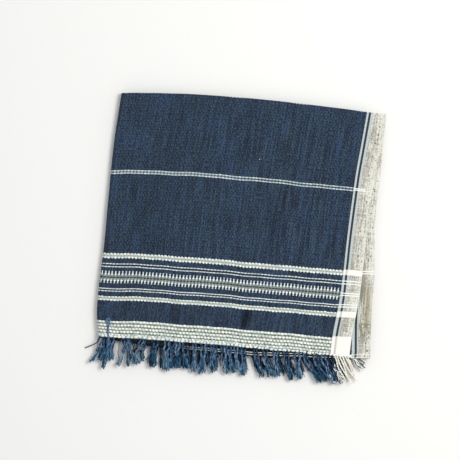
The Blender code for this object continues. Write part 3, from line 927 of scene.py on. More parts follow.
class Formula:
    """A number inside a node tree. Python's operators add Math nodes to it."""

    def __init__(self, tree, socket):
        self.tree = tree
        self.socket = socket

    def math(self, operation, *others):
        """A Math node with this number as its first input."""
        inputs = dict(enumerate((self, *others)))
        return Formula(self.tree, add_node(self.tree, "Math", inputs, operation=operation))

    # Python's operators, then the smaller and the larger of two
    __add__ = __radd__ = partialmethod(math, "ADD")
    __mul__ = __rmul__ = partialmethod(math, "MULTIPLY")
    __sub__ = partialmethod(math, "SUBTRACT")
    __abs__ = partialmethod(math, "ABSOLUTE")
    least = partialmethod(math, "MINIMUM")
    most = partialmethod(math, "MAXIMUM")

    def __rsub__(self, other):
        return -1.0 * self + other

    def rise(self, start, full):
        """0 at start, 1 at full, smooth between them."""
        inputs = {"Value": self, "From Min": start, "From Max": full}
        return Formula(self.tree, add_node(self.tree, "MapRange", inputs, interpolation_type="SMOOTHSTEP"))

    def fall(self, start, gone):
        """1 at start, 0 when it is gone, smooth between them."""
        return 1.0 - self.rise(start, gone)

    def pulse(self, centre, half, soft=BAND_EDGE):
        """1 within half of the centre, 0 further than half and soft."""
        return abs(self - centre).fall(half - soft, half + soft)

    def wave(self, pitch):
        """A cosine wave along a length."""
        return (self * (2 * math.pi / pitch)).math("COSINE")


class Finish:
    """A material under construction."""

    def __init__(self, name, roughness):
        self.material = bpy.data.materials.new(name)
        self.material.use_nodes = True
        self.tree = self.material.node_tree
        self.shader = self.tree.nodes["Principled BSDF"]
        self.shader.inputs["Roughness"].default_value = roughness
        self.shader.inputs["Specular IOR Level"].default_value = GLOSS

    def place(self, name):
        """The two coordinates of a UV map."""
        point = {0: add_node(self.tree, "UVMap", {}, uv_map=name)}
        return [Formula(self.tree, add_node(self.tree, "SeparateXYZ", point, axis)) for axis in "XY"]

    def stored(self, name):
        """A number stored on the mesh."""
        return Formula(self.tree, add_node(self.tree, "Attribute", {}, "Fac", attribute_name=name))

    def noise(self, scale, detail=2.0, place=None):
        """Noise round 0, in the object's own space or at a place of three formulas or numbers."""
        if place is None:
            vector = add_node(self.tree, "TexCoord", {}, "Object")
        else:
            vector = add_node(self.tree, "CombineXYZ", dict(enumerate(place)))
        inputs = {"Vector": vector, "Scale": scale, "Detail": detail}
        return Formula(self.tree, add_node(self.tree, "TexNoise", inputs)) - 0.5

    def blend(self, share, first, second):
        """A colour between two others, each a colour or an output."""
        return add_node(self.tree, "Mix", {0: share, 6: first, 7: second}, 2, data_type="RGBA")

    def scaled(self, colour, share):
        """A colour made brighter or darker by a formula."""
        return add_node(self.tree, "VectorMath", {0: colour, "Scale": share}, operation="SCALE")

    def finish(self, colour, height, depth):
        """The material, once its colour and a bump of the given depth are connected."""
        bump = add_node(self.tree, "Bump", {"Height": height, "Strength": 1.0, "Distance": depth})
        self.tree.links.new(colour, self.shader.inputs["Base Color"])
        self.tree.links.new(bump, self.shader.inputs["Normal"])
        return self.material


def around(lines, half):
    """Bands, (start, end), that reach half to each side of some lines."""
    return [(line - half, line + half) for line in lines]


def any_band(place, bands):
    """Where a place lies in any of some bands, each (start, end)."""
    mask = 0.0
    for start, end in bands:
        mask = place.pulse((start + end) / 2, (end - start) / 2).most(mask)
    return mask


def line_masks(from_hem):
    """Thin white lines, as they lie in the body and as they lie over the selvedges."""
    body = any_band(from_hem, around(BAND_LINES, LINE_HALF_WIDTH))
    crossing = any_band(from_hem, around(BAND_LINES + TEETH_LINES, LINE_HALF_WIDTH))
    for centre in FIELD_PAIRS:
        away = abs(from_hem - centre)
        spread = CROSSING_SPREAD if centre < FIRST_LENGTH else SECOND_SPREAD
        body = body.most(away.pulse(PAIR_SPREAD, PAIR_HALF_WIDTH))
        crossing = crossing.most(away.pulse(spread, PAIR_HALF_WIDTH))
    return body, crossing


def middle_mask(u, v):
    """The pair of lines at the cloth's middle, along the middle fold, dimmed by painted shade near u = 0."""
    centre = MIDDLE_PAIR + MIDDLE_LEAN * u.most(0.0) + MIDDLE_LOWER * u.fall(*MIDDLE_TURN)
    spread = MIDDLE_SPREAD + MIDDLE_OPENING * abs(u)
    shown = MIDDLE_SHADED + (1.0 - MIDDLE_SHADED) * abs(u).rise(*MIDDLE_SHOWN)
    return (abs(v - centre) - spread).pulse(0.0, MIDDLE_HALF_WIDTH) * shown


def cloth_places(finish):
    """The places, waves, noises and stored numbers that the cloth's colours are mixed from."""
    u, v = finish.place("ClothMap")
    at = SimpleNamespace(u=u, from_selvedge=CLOTH_WIDTH / 2 - abs(u), on_first=v.fall(*FIRST_END))
    v = v - pull_of(u, v)
    for size, across, along, phase in DRIFTS:
        turn = u * (2 * math.pi / across) + v * (2 * math.pi / along) + phase
        v = v - size * turn.math("COSINE")
    at.v = v
    at.from_hem = v.least(CLOTH_LENGTH - v)
    at.rows = v.wave(ROW_PITCH)
    at.columns = u.wave(CELL_PITCH)
    at.floats = u.wave(FLOAT_PITCH)
    at.yarns = u.wave(YARN_PITCH) * v.wave(YARN_PITCH)
    at.spotted = at.from_hem.rise(SPOTS_START - SPOTS_FADE, SPOTS_START)
    brick = at.columns * v.wave(2 * ROW_PITCH)
    at.weave = (0.56 * brick + 0.28 * at.rows + 0.16 * at.columns) * at.spotted
    for name, (across, along, start, detail) in CLOTH_NOISES.items():
        setattr(at, name, finish.noise(1.0, detail, (u * across, v * along, start)))
    for name in ("tone", "worn", "shade"):
        setattr(at, name, finish.stored(name))
    return at


def navy_colour(finish, at):
    """The spot-woven navy ground, streaked along its warp."""
    share = 0.37 + 0.25 * at.weave + 0.05 * at.yarns + (1.45 - 0.5 * at.spotted) * at.warp + 0.22 * at.broad
    share = share + 0.30 * at.cloud + 0.45 * at.fibre + 1.50 * at.mottle
    share = share + (0.35 + 0.45 * at.u.rise(0.02, 0.25)) * at.long
    hue = (0.45 + 1.1 * at.broad + 0.7 * at.cloud + 0.3 * at.mottle).rise(0.1, 0.9)
    navy = finish.blend(share.rise(0.0, 1.0), NAVY_DARK, finish.blend(hue, NAVY_LIGHT, BLUE_LIGHT))
    # Darker where tone holds painted shade, lighter where it holds painted light
    return finish.scaled(navy, 1.0 - at.tone)


def ecru_colour(finish, at):
    """The ecru of the selvedges: the mesh's tan patch and painted shade, stains, painted wrinkle shade and
    specks.
    """
    away = at.from_selvedge
    share = 0.51 + 1.7 * at.edge + 1.0 * at.weft + 1.0 * at.cloud + 1.4 * at.mottle + 0.5 * at.fibre
    # tone lowers the share where it holds painted shade
    share = share + 0.22 * away.fall(*PALE_RIM) - 0.16 * away.rise(*GREY_SIDE) - at.tone
    ecru = finish.blend(share.rise(0.0, 1.0), ECRU_DARK, ECRU_LIGHT)
    # Olive where tone holds painted shade, with mottling
    mottle_and_shade = 0.5 + 1.8 * at.edge + 0.9 * at.mottle - 0.9 * at.tone
    stains_and_shade = finish.blend(mottle_and_shade.rise(0.15, 0.75), OLIVE, TAN_PATCH_LIGHT)
    brown = away.pulse(*STAIN_SIDE) * (0.85 + 2.6 * at.mottle) * window_of(at.v, *STAIN_STRETCH)
    stains_and_shade = finish.blend(brown.rise(0.0, 1.0), stains_and_shade, TAN)
    ecru = finish.blend(0.95 * at.worn, ecru, stains_and_shade)
    # Painted shade along wrinkles and along one wrinkled line
    wrinkles = at.wrinkle.pulse(0.0, 0.030, 0.032) * window_of(at.v, *WRINKLE_STRETCH) * away.rise(0.0, 0.002)
    line = at.v.pulse(*WRINKLE_LINE) * away.pulse(*WRINKLE_SIDE)
    ecru = finish.blend(0.95 * wrinkles.most(line), ecru, OLIVE)
    specks = at.speck.rise(0.14, 0.20) * (0.16 + 0.84 * away.pulse(*SPECK_SIDE))
    return finish.blend(specks, ecru, SPECK)


def striped_colour(finish, at):
    """The navy ground with the selvedges' ecru, white and navy beside it. Also the navy stripe's share."""
    drifted = at.from_selvedge - STRIPE_DRIFT * at.v.rise(*STRIPE_TURN) * at.on_first
    navy_stripe = any_band(drifted, [(SELVEDGE_WHITE, SELVEDGE_NAVY)])
    white_stripes = any_band(at.from_selvedge, [(SELVEDGE_ECRU, SELVEDGE_WIDTH)]) * (1.0 - navy_stripe)
    white_stripes = white_stripes * (0.88 + 0.05 * at.rows + 0.4 * at.mottle)
    in_ecru = at.from_selvedge.fall(SELVEDGE_ECRU - STRIP_EDGE, SELVEDGE_ECRU + STRIP_EDGE)
    colour = finish.blend(in_ecru, navy_colour(finish, at), ecru_colour(finish, at))
    colour = finish.blend(white_stripes, colour, STRIPE_WHITE)
    return finish.blend(0.93 * navy_stripe, colour, STRIPE_NAVY), navy_stripe


def patterned_colour(finish, at, colour, lines):
    """The body's colour under the raised weft: the bands' grounds, teeth, seams, thin lines and painted
    shade.
    """
    from_hem = at.from_hem
    in_hem = from_hem.fall(*HEM_END)
    marks = at.mark.rise(-0.10, 0.06)
    gap_rows = (from_hem - HEM_ROWS[0][0]).wave(HEM_ROW_PITCH).fall(-0.75, -0.15)
    gaps = gap_rows * marks * (0.82 + 0.62 * at.floats) * in_hem
    ground = finish.blend(in_hem, BAND_GROUND, HEM_GROUND)
    ground = finish.blend(gaps.least(1.0), ground, GAP_DARK)
    # Painted shade round the bands and thin lines, as the raised weft would cast on the ground
    rim_shade = [(start - BAND_RIM_SHADE, end + BAND_RIM_SHADE) for start, end in BAND_GROUNDS + (MIDDLE_GROUND,)]
    rim_shade = any_band(from_hem, rim_shade + around(BAND_LINES, LINE_RIM_SHADE))
    colour = finish.blend(0.45 * rim_shade, colour, NAVY_DARK)
    colour = finish.blend(any_band(from_hem, BAND_GROUNDS), colour, ground)
    dashes = from_hem.pulse(DARK_DASHES, DASH_HALF_WIDTH, STRIP_EDGE) * (0.80 + 0.35 * at.columns).least(1.0)
    worked = any_band(from_hem, [MIDDLE_GROUND]) * (1.0 - dashes) * (1.0 - 0.30 * marks)
    colour = finish.blend(worked * (0.80 + 0.24 * at.floats).least(1.0), colour, TOOTH_GROUND)
    # Painted shade between the two lines of each band pair
    between = any_band(from_hem, around(LINE_GAPS, GAP_HALF_WIDTH))
    colour = finish.blend(0.55 * between, colour, NAVY_DARK)
    seams = any_band(from_hem, around(BAND_SEAMS, SEAM_HALF_WIDTH)) * (0.28 + 0.42 * at.floats)
    colour = finish.blend(seams, colour, GAP_DARK)
    thin = lines * (0.68 + 0.32 * at.floats)
    teeth = any_band(from_hem, [sorted(tooth) for tooth in TEETH]) * at.floats.rise(0.45, 0.9)
    rungs = from_hem.pulse(FIELD_PAIRS[0], PAIR_SPREAD, STRIP_EDGE) * (0.24 + 0.16 * at.floats)
    rungs = rungs * (1.0 - 0.75 * at.u.rise(*RUNGS_FADE)) * at.on_first
    return finish.blend(thin.most(0.6 * teeth).most(rungs), colour, LINE_WHITE)


def cloth_finish():
    """Spot-woven navy cotton with its selvedge stripes and weft bands."""
    finish = Finish("woven_cotton", 0.92)
    at = cloth_places(finish)
    lines, crossing = line_masks(at.from_hem)
    middle = middle_mask(at.u, at.v)
    striped, navy_stripe = striped_colour(finish, at)
    body = patterned_colour(finish, at, striped, lines)
    faded = 1.0 - 0.85 * at.spotted * at.v.fall(*FADED_END) * at.from_selvedge.fall(*FADED_SIDE)
    crossing = any_band(at.from_hem, WHITE_BANDS).most(middle).most(crossing * faded)
    edge = finish.blend(crossing * (1.0 - 0.38 * navy_stripe), striped, CREAM)
    in_selvedge = at.from_selvedge.fall(SELVEDGE_WIDTH - STRIP_EDGE, SELVEDGE_WIDTH + STRIP_EDGE)
    colour = finish.scaled(finish.blend(in_selvedge, body, edge), 1.0 - at.shade)
    colour = finish.blend(middle * (1.0 - in_selvedge) * (0.8 + 0.2 * at.columns), colour, CREAM)
    height = 0.24 * at.weave + 0.20 * at.yarns + 0.35 * at.fibre + 0.35 * at.warp + 0.45 * at.mottle
    return finish.finish(colour, height, CLOTH_BUMP)


def weft_finish():
    """Thick, soft white weft."""
    finish = Finish("white_weft", 0.88)
    fibre = finish.noise(1400.0)
    share = 0.55 + 0.9 * fibre + 0.6 * finish.noise(60.0) + finish.stored("tone")
    return finish.finish(finish.blend(share.rise(0.0, 0.6), WEFT_SHADE, WHITE), fibre, WEFT_BUMP)


def yarn_finish():
    """Dyed warp ends, from navy to mid blue, with painted highlights on their fibres. Undyed where the mesh
    says so.
    """
    finish = Finish("fringe_yarn", 0.86)
    tone = finish.stored("tone")
    fibre = finish.noise(1500.0)
    patch = finish.noise(220.0)
    share = tone + 1.3 * fibre + 1.1 * patch
    teal = (finish.stored("teal") + 1.4 * patch).rise(0.1, 0.9)
    blue = finish.blend(share.rise(0.0, 0.62), YARN_DARK, finish.blend(teal, YARN_BLUE, YARN_TEAL))
    # Painted highlights where the tone and fibres are brightest
    blue = finish.blend((share + 0.6 * fibre).rise(0.55, 1.15), blue, YARN_HIGHLIGHT)
    pale = finish.blend((0.6 + 1.2 * fibre + tone).rise(0.0, 1.0), THREAD_SHADE, THREAD_LIGHT)
    return finish.finish(finish.blend(finish.stored("undyed"), blue, pale), fibre, YARN_BUMP)


def floor_finish():
    """Plain pale floor with a trace of unevenness."""
    finish = Finish("pale_floor", 0.95)
    patch = finish.noise(3.0)
    colour = finish.blend(patch + 0.5, FLOOR, tuple(0.985 * channel for channel in FLOOR))
    return finish.finish(colour, patch, FLOOR_BUMP)


def add_object(name, data):
    """A new object in the scene."""
    thing = bpy.data.objects.new(name, data)
    bpy.context.scene.collection.objects.link(thing)
    return thing


def make_piece(name, points, faces, material, numbers):
    """A mesh object on the towel, moved from the towel's own frame to the CAD frame."""
    mesh = bpy.data.meshes.new(name)
    mesh.from_pydata((points + PLACE).tolist(), [], faces)
    for key, values in numbers.items():
        layer = mesh.attributes.new(key, "FLOAT", "POINT")
        layer.data.foreach_set("value", values.astype(np.float32))
    mesh.materials.append(material)
    mesh.shade_smooth()
    piece = add_object(name, mesh)
    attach(piece, "root")
    return piece


def tan_patch_share(from_selvedge, v):
    """How much of the second layer's selvedge lies in its darker tan patch, most where it shows beside the
    bands.
    """
    worn = sum(share * rise_of(v, start, full) for share, start, full in TAN_PATCH_STARTS)
    worn = worn * rise_of(v, *TAN_PATCH_END) * rise_of(from_selvedge, *TAN_PATCH_SIDE)
    return worn * (TAN_PATCH_LEAST + (1.0 - TAN_PATCH_LEAST) * rise_of(from_selvedge, *TAN_PATCH_RIM))


def second_tone(from_selvedge, v):
    """How much darker the second selvedge is: tan patch, painted shade in wrinkles and beside the first one.
    """
    depth = (v - SECOND_START) * FOLDED_DEPTH / SECOND_LENGTH
    tone = tan_patch_share(from_selvedge, v) * (TAN_PATCH_DARKER + ripples(TAN_PATCH_RIPPLE, v, from_selvedge))
    beside = read_table(SECOND_SELVEDGE, depth) - read_table(FIRST_SELVEDGE, depth) - from_selvedge
    # Painted shadow of the first selvedge's edge on the second layer
    dark = np.exp(-((beside / BESIDE_WIDTH) ** 2)) * window_of(depth, *BESIDE_STRETCH)
    return tone + bumps(SECOND_CREASE_SHADES, from_selvedge, depth) + BESIDE_SHADE * dark


def overhang_shade(u, v):
    """How deep in shade the middle fold is where the hem and the fringe lie over it."""
    return SHADE_DARKER * rise_of(np.abs(v - MIDDLE_FOLD), *SHADE_REACH) * rise_of(u, *SHADE_SIDE)


def quads(grid):
    """Faces between the neighbours in a grid of vertex numbers."""
    return np.stack([grid[:-1, :-1], grid[1:, :-1], grid[1:, 1:], grid[:-1, 1:]], axis=-1).reshape(-1, 4)


def sheet_faces(numbers):
    """Faces of a closed sheet, from its vertex numbers by face, column and row."""
    pairs = (
        (quads(numbers[0]), quads(numbers[1])[:, ::-1]),
        (quads(numbers[:, :, 0]), quads(numbers[:, :, -1])[:, ::-1]),
        (quads(numbers[:, 0])[:, ::-1], quads(numbers[:, -1])),
    )
    return np.concatenate([np.stack(pair, axis=1).reshape(-1, 4) for pair in pairs])


def bake_map(front, upper, panel, u, v):
    """Places of the cloth's faces on the bake map. What shows gets most of it."""
    half = CLOTH_WIDTH / 2
    along_first = v / FIRST_LENGTH
    along_second = (v - SECOND_START) / SECOND_LENGTH
    upper_u = (u + BAKE_LAP) / (half + BAKE_LAP)
    under_u = (BAKE_LAP - u) / (half + BAKE_LAP)
    whole = ((u + half) / CLOTH_WIDTH, v / CLOTH_LENGTH)
    cases = (
        (front, BAKE_FRONT_REST, *whole),
        (~front, BAKE_BACK_REST, *whole),
        (front & (panel == 0), BAKE_UNDER, along_first, under_u),
        (~front & (panel == 1) & upper, BAKE_SECOND, upper_u, along_second),
        (front & (panel == 0) & upper, BAKE_TOP, upper_u, along_first),
    )
    places = np.zeros((*u.shape, 2))
    for chosen, (left, bottom, width, height), across, along in cases:
        places[chosen, :, 0] = left + width * across[chosen]
        places[chosen, :, 1] = bottom + height * along[chosen]
    return places


def store_maps(mesh, shape, u, v):
    """Store the cloth's own places, and the map that its look is baked through."""
    corners = np.empty(len(mesh.loops), dtype=np.int64)
    mesh.loops.foreach_get("vertex_index", corners)
    corners = corners.reshape(-1, 4)
    face, column, row = np.unravel_index(corners.max(axis=1), shape)
    upper = np.array([is_upper(station) for station in round_stations()])[column]
    panel = np.floor(accordion(1, 0.5)[4] + 0.5)[row]
    own = np.stack([u[corners], v[corners]], axis=-1)
    bake = bake_map(face == 0, upper, panel, u[corners], v[corners])
    for name, places in (("ClothMap", own), ("OFBake", bake)):
        mesh.uv_layers.new(name=name).data.foreach_set("uv", places.astype(np.float32).ravel())


def make_cloth(points, places, material):
    """The whole cloth as one folded sheet, two faces and the rim between them."""
    shape = points.shape[:3]
    u, v = places.reshape(-1, 2).T
    side = CLOTH_WIDTH / 2 - u
    # Painted shade in the top layer's troughs and painted light on its ridges
    crease_shade = bumps(CREASES, u, v, CREASE_SHADE, CREASE_POWER)
    # tone holds painted shade and light: on the first panel's troughs and ridges, and on the second layer's
    # selvedge
    numbers = {
        "tone": np.where(v <= FIRST_LENGTH, crease_shade, second_tone(side, v)),
        "worn": tan_patch_share(side, v),
        "shade": overhang_shade(u, v),
    }
    faces = sheet_faces(np.arange(math.prod(shape)).reshape(shape)).tolist()
    piece = make_piece("towel_cloth", points.reshape(-1, 3), faces, material, numbers)
    piece.data.set_sharp_from_angle(angle=SHARP_ANGLE)
    store_maps(piece.data, shape, u, v)
    return piece


class Floats:
    """Short raised stretches of weft on the first panel."""

    # Steps of a float's mesh along its length and its width
    LONG = 5
    WIDE = 4

    def __init__(self):
        self.floats = []

    def add(self, u, v, half_u, half_v, slant=0.0, tone=0.0, height=FLOAT_HEIGHT, tilt=0.0):
        """One float, centred at (u, v). slant shifts u with v, and tilt v with u."""
        along, over = np.meshgrid(np.linspace(-1, 1, self.LONG), np.linspace(-1, 1, self.WIDE), indexing="ij")
        round_u = half_u * along * np.sqrt(1 - FLOAT_ROUNDING * over ** 2)
        round_v = half_v * over * np.sqrt(1 - FLOAT_ROUNDING * along ** 2)
        dome = np.sqrt(1 - FLOAT_DOME * along ** 4) * np.sqrt(1 - FLOAT_DOME * over ** 2)
        rows = (u + round_u - slant * round_v, v + round_v + tilt * round_u, height * (dome - FLOAT_SUNK))
        self.floats.append(np.reshape((*rows, np.full_like(along, tone)), (4, -1)))

    def piece(self, name, material, slot):
        """All the floats as one mesh."""
        u, v, out, tone = np.concatenate(self.floats, axis=1)
        points = on_first_panel(u, v + drift_of(u, v), out)
        size = self.LONG * self.WIDE
        starts = size * np.arange(len(self.floats))
        faces = starts[:, None, None] + quads(np.arange(size).reshape(self.LONG, self.WIDE))
        return make_piece(name, points, faces.reshape(-1, 4).tolist(), material, {"tone": tone})


def body_range(v):
    """u of the body's left and right end on the upper side, at a distance from the hem."""
    depth = (1 - v / FIRST_LENGTH) * FOLDED_DEPTH
    quarter = math.pi / 2 * ring_radius(0)
    return float(-slide_of(0, depth) - FOLD_COVER * quarter), CLOTH_WIDTH / 2 - SELVEDGE_WIDTH


def float_numbers(v, shift=0.0):
    """Numbers of the floats that fit in a row."""
    start, end = body_range(v)
    return range(math.ceil(start / FLOAT_PITCH), math.floor(end / FLOAT_PITCH - shift) + 1)


def add_row(floats, draw, v, half_u, half_v, slant, shift, height=FLOAT_HEIGHT, dull=0.0, tilt=0.0):
    """One row of floats across the body. tilt is how far they lean at its right end."""
    for number in float_numbers(v, shift):
        u = (number + shift) * FLOAT_PITCH + draw.gauss(0, SCATTER_U)
        size_u = half_u * draw.uniform(*FLOAT_LENGTHS)
        size_v = half_v * draw.uniform(*FLOAT_WIDTHS)
        stray = draw.gauss(0, SCATTER_V)
        lean = tilt * float(rise_of(u, *TILT_START))
        floats.add(u, v + stray, size_u, size_v, slant, draw.uniform(*FLOAT_TONES) - dull, height, lean)


def add_ridge(floats, v, half_v, bare=0.0):
    """A thin line's weft across the selvedge, flat. It ends short of the edge where some is bare."""
    half = (SELVEDGE_WIDTH - bare) / 2
    u = CLOTH_WIDTH / 2 - bare - half - RIDGE_INSET
    floats.add(u, v, half, half_v, tone=RIDGE_TONE, height=RIDGE_HEIGHT)


def add_teeth(floats, draw):
    """Teeth on both sides of the middle band, each a broad foot, a thin tip and its small cap."""
    foot_u, foot_v = TOOTH_FOOT
    for foot, tip in TEETH:
        for number in float_numbers(TEETH[0][0]):
            u = number * FLOAT_PITCH + draw.gauss(0, FOOT_STRAY)
            size = draw.uniform(*TOOTH_SIZES)
            floats.add(u, foot, foot_u * size, foot_v * size, TOOTH_SLANT, draw.uniform(*FOOT_TONES))
            u = u + draw.gauss(0, TIP_STRAY)
            middle = (tip + foot) / 2
            half_v = abs(tip - foot) / 2
            tone = draw.uniform(*TIP_TONES)
            floats.add(u, middle, TOOTH_TIP_WIDTH, half_v, TOOTH_SLANT, tone, LINE_HEIGHT)
            cap = tip + math.copysign(CAP_INSET, foot - tip)
            floats.add(u, cap, *TOOTH_CAP, TOOTH_SLANT, draw.uniform(*CAP_TONES), CAP_HEIGHT)


def add_lobes(floats, draw):
    """Loops of the last weft, which bulge past the hem between the bundles of the fringe."""
    u, end = body_range(0.0)
    while u < end + SELVEDGE_WIDTH - LOBE_END:
        half = draw.uniform(*LOBE_LENGTHS)
        v = LOBE_REACH - LOBE_LESS * float(rise_of(u, *LOBE_CHANGE)) + draw.uniform(*LOBE_SCATTER)
        floats.add(u + half, v, half, draw.uniform(*LOBE_WIDTHS), tone=LOBE_TONE)
        u += 2 * half + draw.uniform(*LOBE_GAPS)


def make_weft(material):
    """Every float of the bands, the lines, the teeth and the hem."""
    draw = random.Random(41)
    floats = Floats()
    for row in HEM_ROWS + BAND_ROWS:
        add_row(floats, draw, *row, dull=LINE_DULL if row == HEM_ROWS[0] else 0.0)
    for number, v in enumerate(BAND_LINES):
        shift = LINE_SHIFT * number % 1.0
        add_row(floats, draw, v, LINE_HALF_LENGTH, LINE_HALF_WIDTH, LINE_SLANT, shift, LINE_HEIGHT, LINE_DULL)
    for way in (-1, 1):
        v = FIELD_PAIRS[0] + way * PAIR_SPREAD
        look = (PAIR_SLANT, 0.0, LINE_HEIGHT, PAIR_DULL, PAIR_TILT)
        add_row(floats, draw, v, PAIR_HALF_LENGTH, PAIR_HALF_WIDTH, *look)
        add_ridge(floats, FIELD_PAIRS[0] + way * CROSSING_SPREAD, PAIR_HALF_WIDTH, PAIR_BARE)
    for v in BAND_LINES + TEETH_LINES:
        add_ridge(floats, v, RIDGE_WIDER * LINE_HALF_WIDTH)
    add_teeth(floats, draw)
    add_lobes(floats, draw)
    return floats.piece("pattern_weft", material, "cloth")


def unit(vectors):
    """Vectors scaled to a length of one."""
    return vectors / np.maximum(np.linalg.norm(vectors, axis=-1, keepdims=True), 1e-9)


def square_to(along):
    """Unit vectors square to a direction and to each other, the first one level."""
    right = unit(np.cross(along, UP))
    return right, np.cross(right, along)


class Yarns:
    """Round yarns joined into one mesh."""

    def __init__(self):
        self.points = []
        self.faces = []
        self.numbers = []
        self.count = 0

    def add(self, path, radius, sides, tone, undyed=0.0, teal=0.0):
        """A tube along a path of points. Its radius and tone are for all of it or for each point."""
        steps = len(path)
        right, up = square_to(unit(np.gradient(path, axis=0)))
        turn = 2 * math.pi * (np.arange(sides) + 0.5) / sides
        ring = right[:, None] * np.cos(turn)[None, :, None] + up[:, None] * np.sin(turn)[None, :, None]
        rings = path[:, None] + ring * np.broadcast_to(radius, steps)[:, None, None]
        rings[..., 2] = np.maximum(rings[..., 2], FLOOR_GAP)
        self.points.append(rings.reshape(-1, 3))
        grid = self.count + np.arange(steps * sides).reshape(steps, sides)
        self.faces += quads(np.hstack([grid, grid[:, :1]]))[:, (0, 3, 2, 1)].tolist()
        self.faces += [grid[0, ::-1].tolist(), grid[-1].tolist()]
        numbers = [np.broadcast_to(number, steps) for number in (tone, undyed, teal)]
        self.numbers.append(np.repeat(numbers, sides, axis=1))
        self.count += steps * sides

    def piece(self, name, material):
        """All the yarns as one mesh."""
        numbers = dict(zip(("tone", "undyed", "teal"), np.concatenate(self.numbers, axis=1)))
        return make_piece(name, np.concatenate(self.points), self.faces, material, numbers)


def strand_height(row, x, depth, across):
    """Height of a strand's middle at a place: level by the hem, then dropping to its resting height."""
    panel, _, side, rest = ROWS[row][:4]
    level = SKIN_RADIUS + side * ring_radius(panel)
    drop = max(float(edge_depth("middle", way, across)) for way in (1, -1)) + DROP_MARGIN
    fallen = smooth_step((depth - drop) / DROP_LENGTH)
    return settle(x, depth, level + (rest - level) * fallen, 1.0 if row == "shown" else 0.0)


def strand_path(row, root, tip, bend, steps):
    """Points from a root to a tip, both (x, depth), over what lies below."""
    root = np.array(root)
    tip = np.array(tip)
    middle = (root + tip) / 2 + np.array([-bend * (tip[0] - root[0]), 0.0])
    shares = np.linspace(0, 1, steps)[:, None]
    plan = (1 - shares) ** 2 * root + 2 * shares * (1 - shares) * middle + shares ** 2 * tip
    across = float(np.clip(root[0] / FOLD_REACH, 0, 1))
    height = strand_height(row, plan[:, 0], plan[:, 1], across)
    return np.stack([plan[:, 0], -plan[:, 1], height], axis=1)


def smooth_line(path, shares):
    """Points of a path at other shares of its length."""
    places = np.linspace(0, 1, len(path))
    return np.stack([np.interp(shares, places, path[:, axis]) for axis in range(3)], axis=1)


def sideways(path):
    """Unit vectors level and square to a path."""
    along = np.gradient(path, axis=0)
    return unit(np.stack([-along[:, 1], along[:, 0], 0 * along[:, 0]], axis=1))


def wobble(draw, gone, slowest, fastest):
    """A sine along a path, of a random speed and start."""
    return np.sin(gone * draw.uniform(slowest, fastest) + draw.uniform(0, 6))


def spiral(beside, angle, radius):
    """Offsets that turn round a path."""
    offset = beside * (np.cos(angle) * radius)[:, None]
    offset[:, 2] += np.sin(angle) * radius
    return offset


def add_tassel(yarns, draw, row, root, tip, spread, look, tone, pale=0.0, full=1.0):
    """Two twisted bundles that meet in a knot, and the tuft below it."""
    line = strand_path(row, root, tip, TASSEL_BEND, LINE_POINTS)
    length = float(np.linalg.norm(np.diff(line, axis=0), axis=1).sum())
    knot = KNOT_SHARE + draw.uniform(*KNOT_SCATTER)
    across = sideways(line)
    shares = np.linspace(0, knot, look.steps)
    gone = shares / knot
    thickness = BUNDLE_LEAST + (1 - BUNDLE_LEAST) * full
    for bundle in (-1, 1):
        gap = spread / 2 * (1 - BUNDLE_CLOSING * gone ** 2) + BUNDLE_GAP * full
        kink = SLOW_KINK * wobble(draw, gone, *SLOW_SPEEDS) * np.sin(math.pi * gone)
        kink = kink + FAST_KINK * wobble(draw, gone, *FAST_SPEEDS) * gone
        path = smooth_line(line, shares) + smooth_line(across, shares) * (bundle * gap + kink)[:, None]
        bundle_tone = tone + draw.uniform(*BUNDLE_TONES)
        twist_along(yarns, draw, path, length * knot, look, bundle_tone, pale, thickness)
    add_knot(yarns, smooth_line(line, [knot - KNOT_REACH, knot, knot + KNOT_REACH]), look, tone, full)
    add_tuft(yarns, draw, line, across, knot, look, tone, pale, full)
    for _ in range(look.slipped):
        add_slipped(yarns, draw, row, root, tip)


def twist_along(yarns, draw, path, length, look, tone, pale, thickness):
    """Plies twisted round a path: painted shade on one and at the root, painted highlight on the other."""
    beside = sideways(path)
    start = draw.uniform(0, 2 * math.pi)
    turns = start + 2 * math.pi * length / TWIST_PITCH * np.linspace(0, 1, look.steps)
    darker = ROOT_SHADE * (1 - smooth_step(np.linspace(0, ROOT_FADE, look.steps)))
    for ply in range(look.plies):
        offset = spiral(beside, turns + math.pi * ply, look.twist)
        undyed = 1.0 if draw.random() < pale else 0.0
        ply_tone = tone - PLY_SHADE + PLY_HIGHLIGHT * ply - darker
        yarns.add(path + offset, thickness * look.ply_radius, look.ply_sides, ply_tone, undyed)


def add_knot(yarns, line, look, tone, full):
    """The knot: a few tight turns round the bundles."""
    start, centre, end = line
    along = unit(end - start)
    right, up = square_to(along)
    size = KNOT_RADIUS * (0.5 + 0.5 * full)
    shares = np.linspace(-1, 1, look.steps)
    angle = KNOT_ANGLE * shares
    swell = size * np.sqrt(1 - KNOT_TAPER * shares ** 2)
    path = centre + along * (shares * size)[:, None] + right * (np.cos(angle) * swell)[:, None]
    path = path + up * (np.sin(angle) * swell * KNOT_FLATNESS)[:, None]
    path[:, 2] = np.maximum(path[:, 2], PLY_RADIUS)
    yarns.add(path, KNOT_YARN, YARN_SIDES, tone - KNOT_DARKER, 0.0, KNOT_TEAL)
    core = centre + along * (shares * KNOT_LENGTH * size)[:, None]
    core_radius = size * np.sqrt(KNOT_ROUNDNESS - shares ** 2)
    yarns.add(core, core_radius, CORE_SIDES, tone - KNOT_CORE_DARKER, 0.0, KNOT_TEAL)


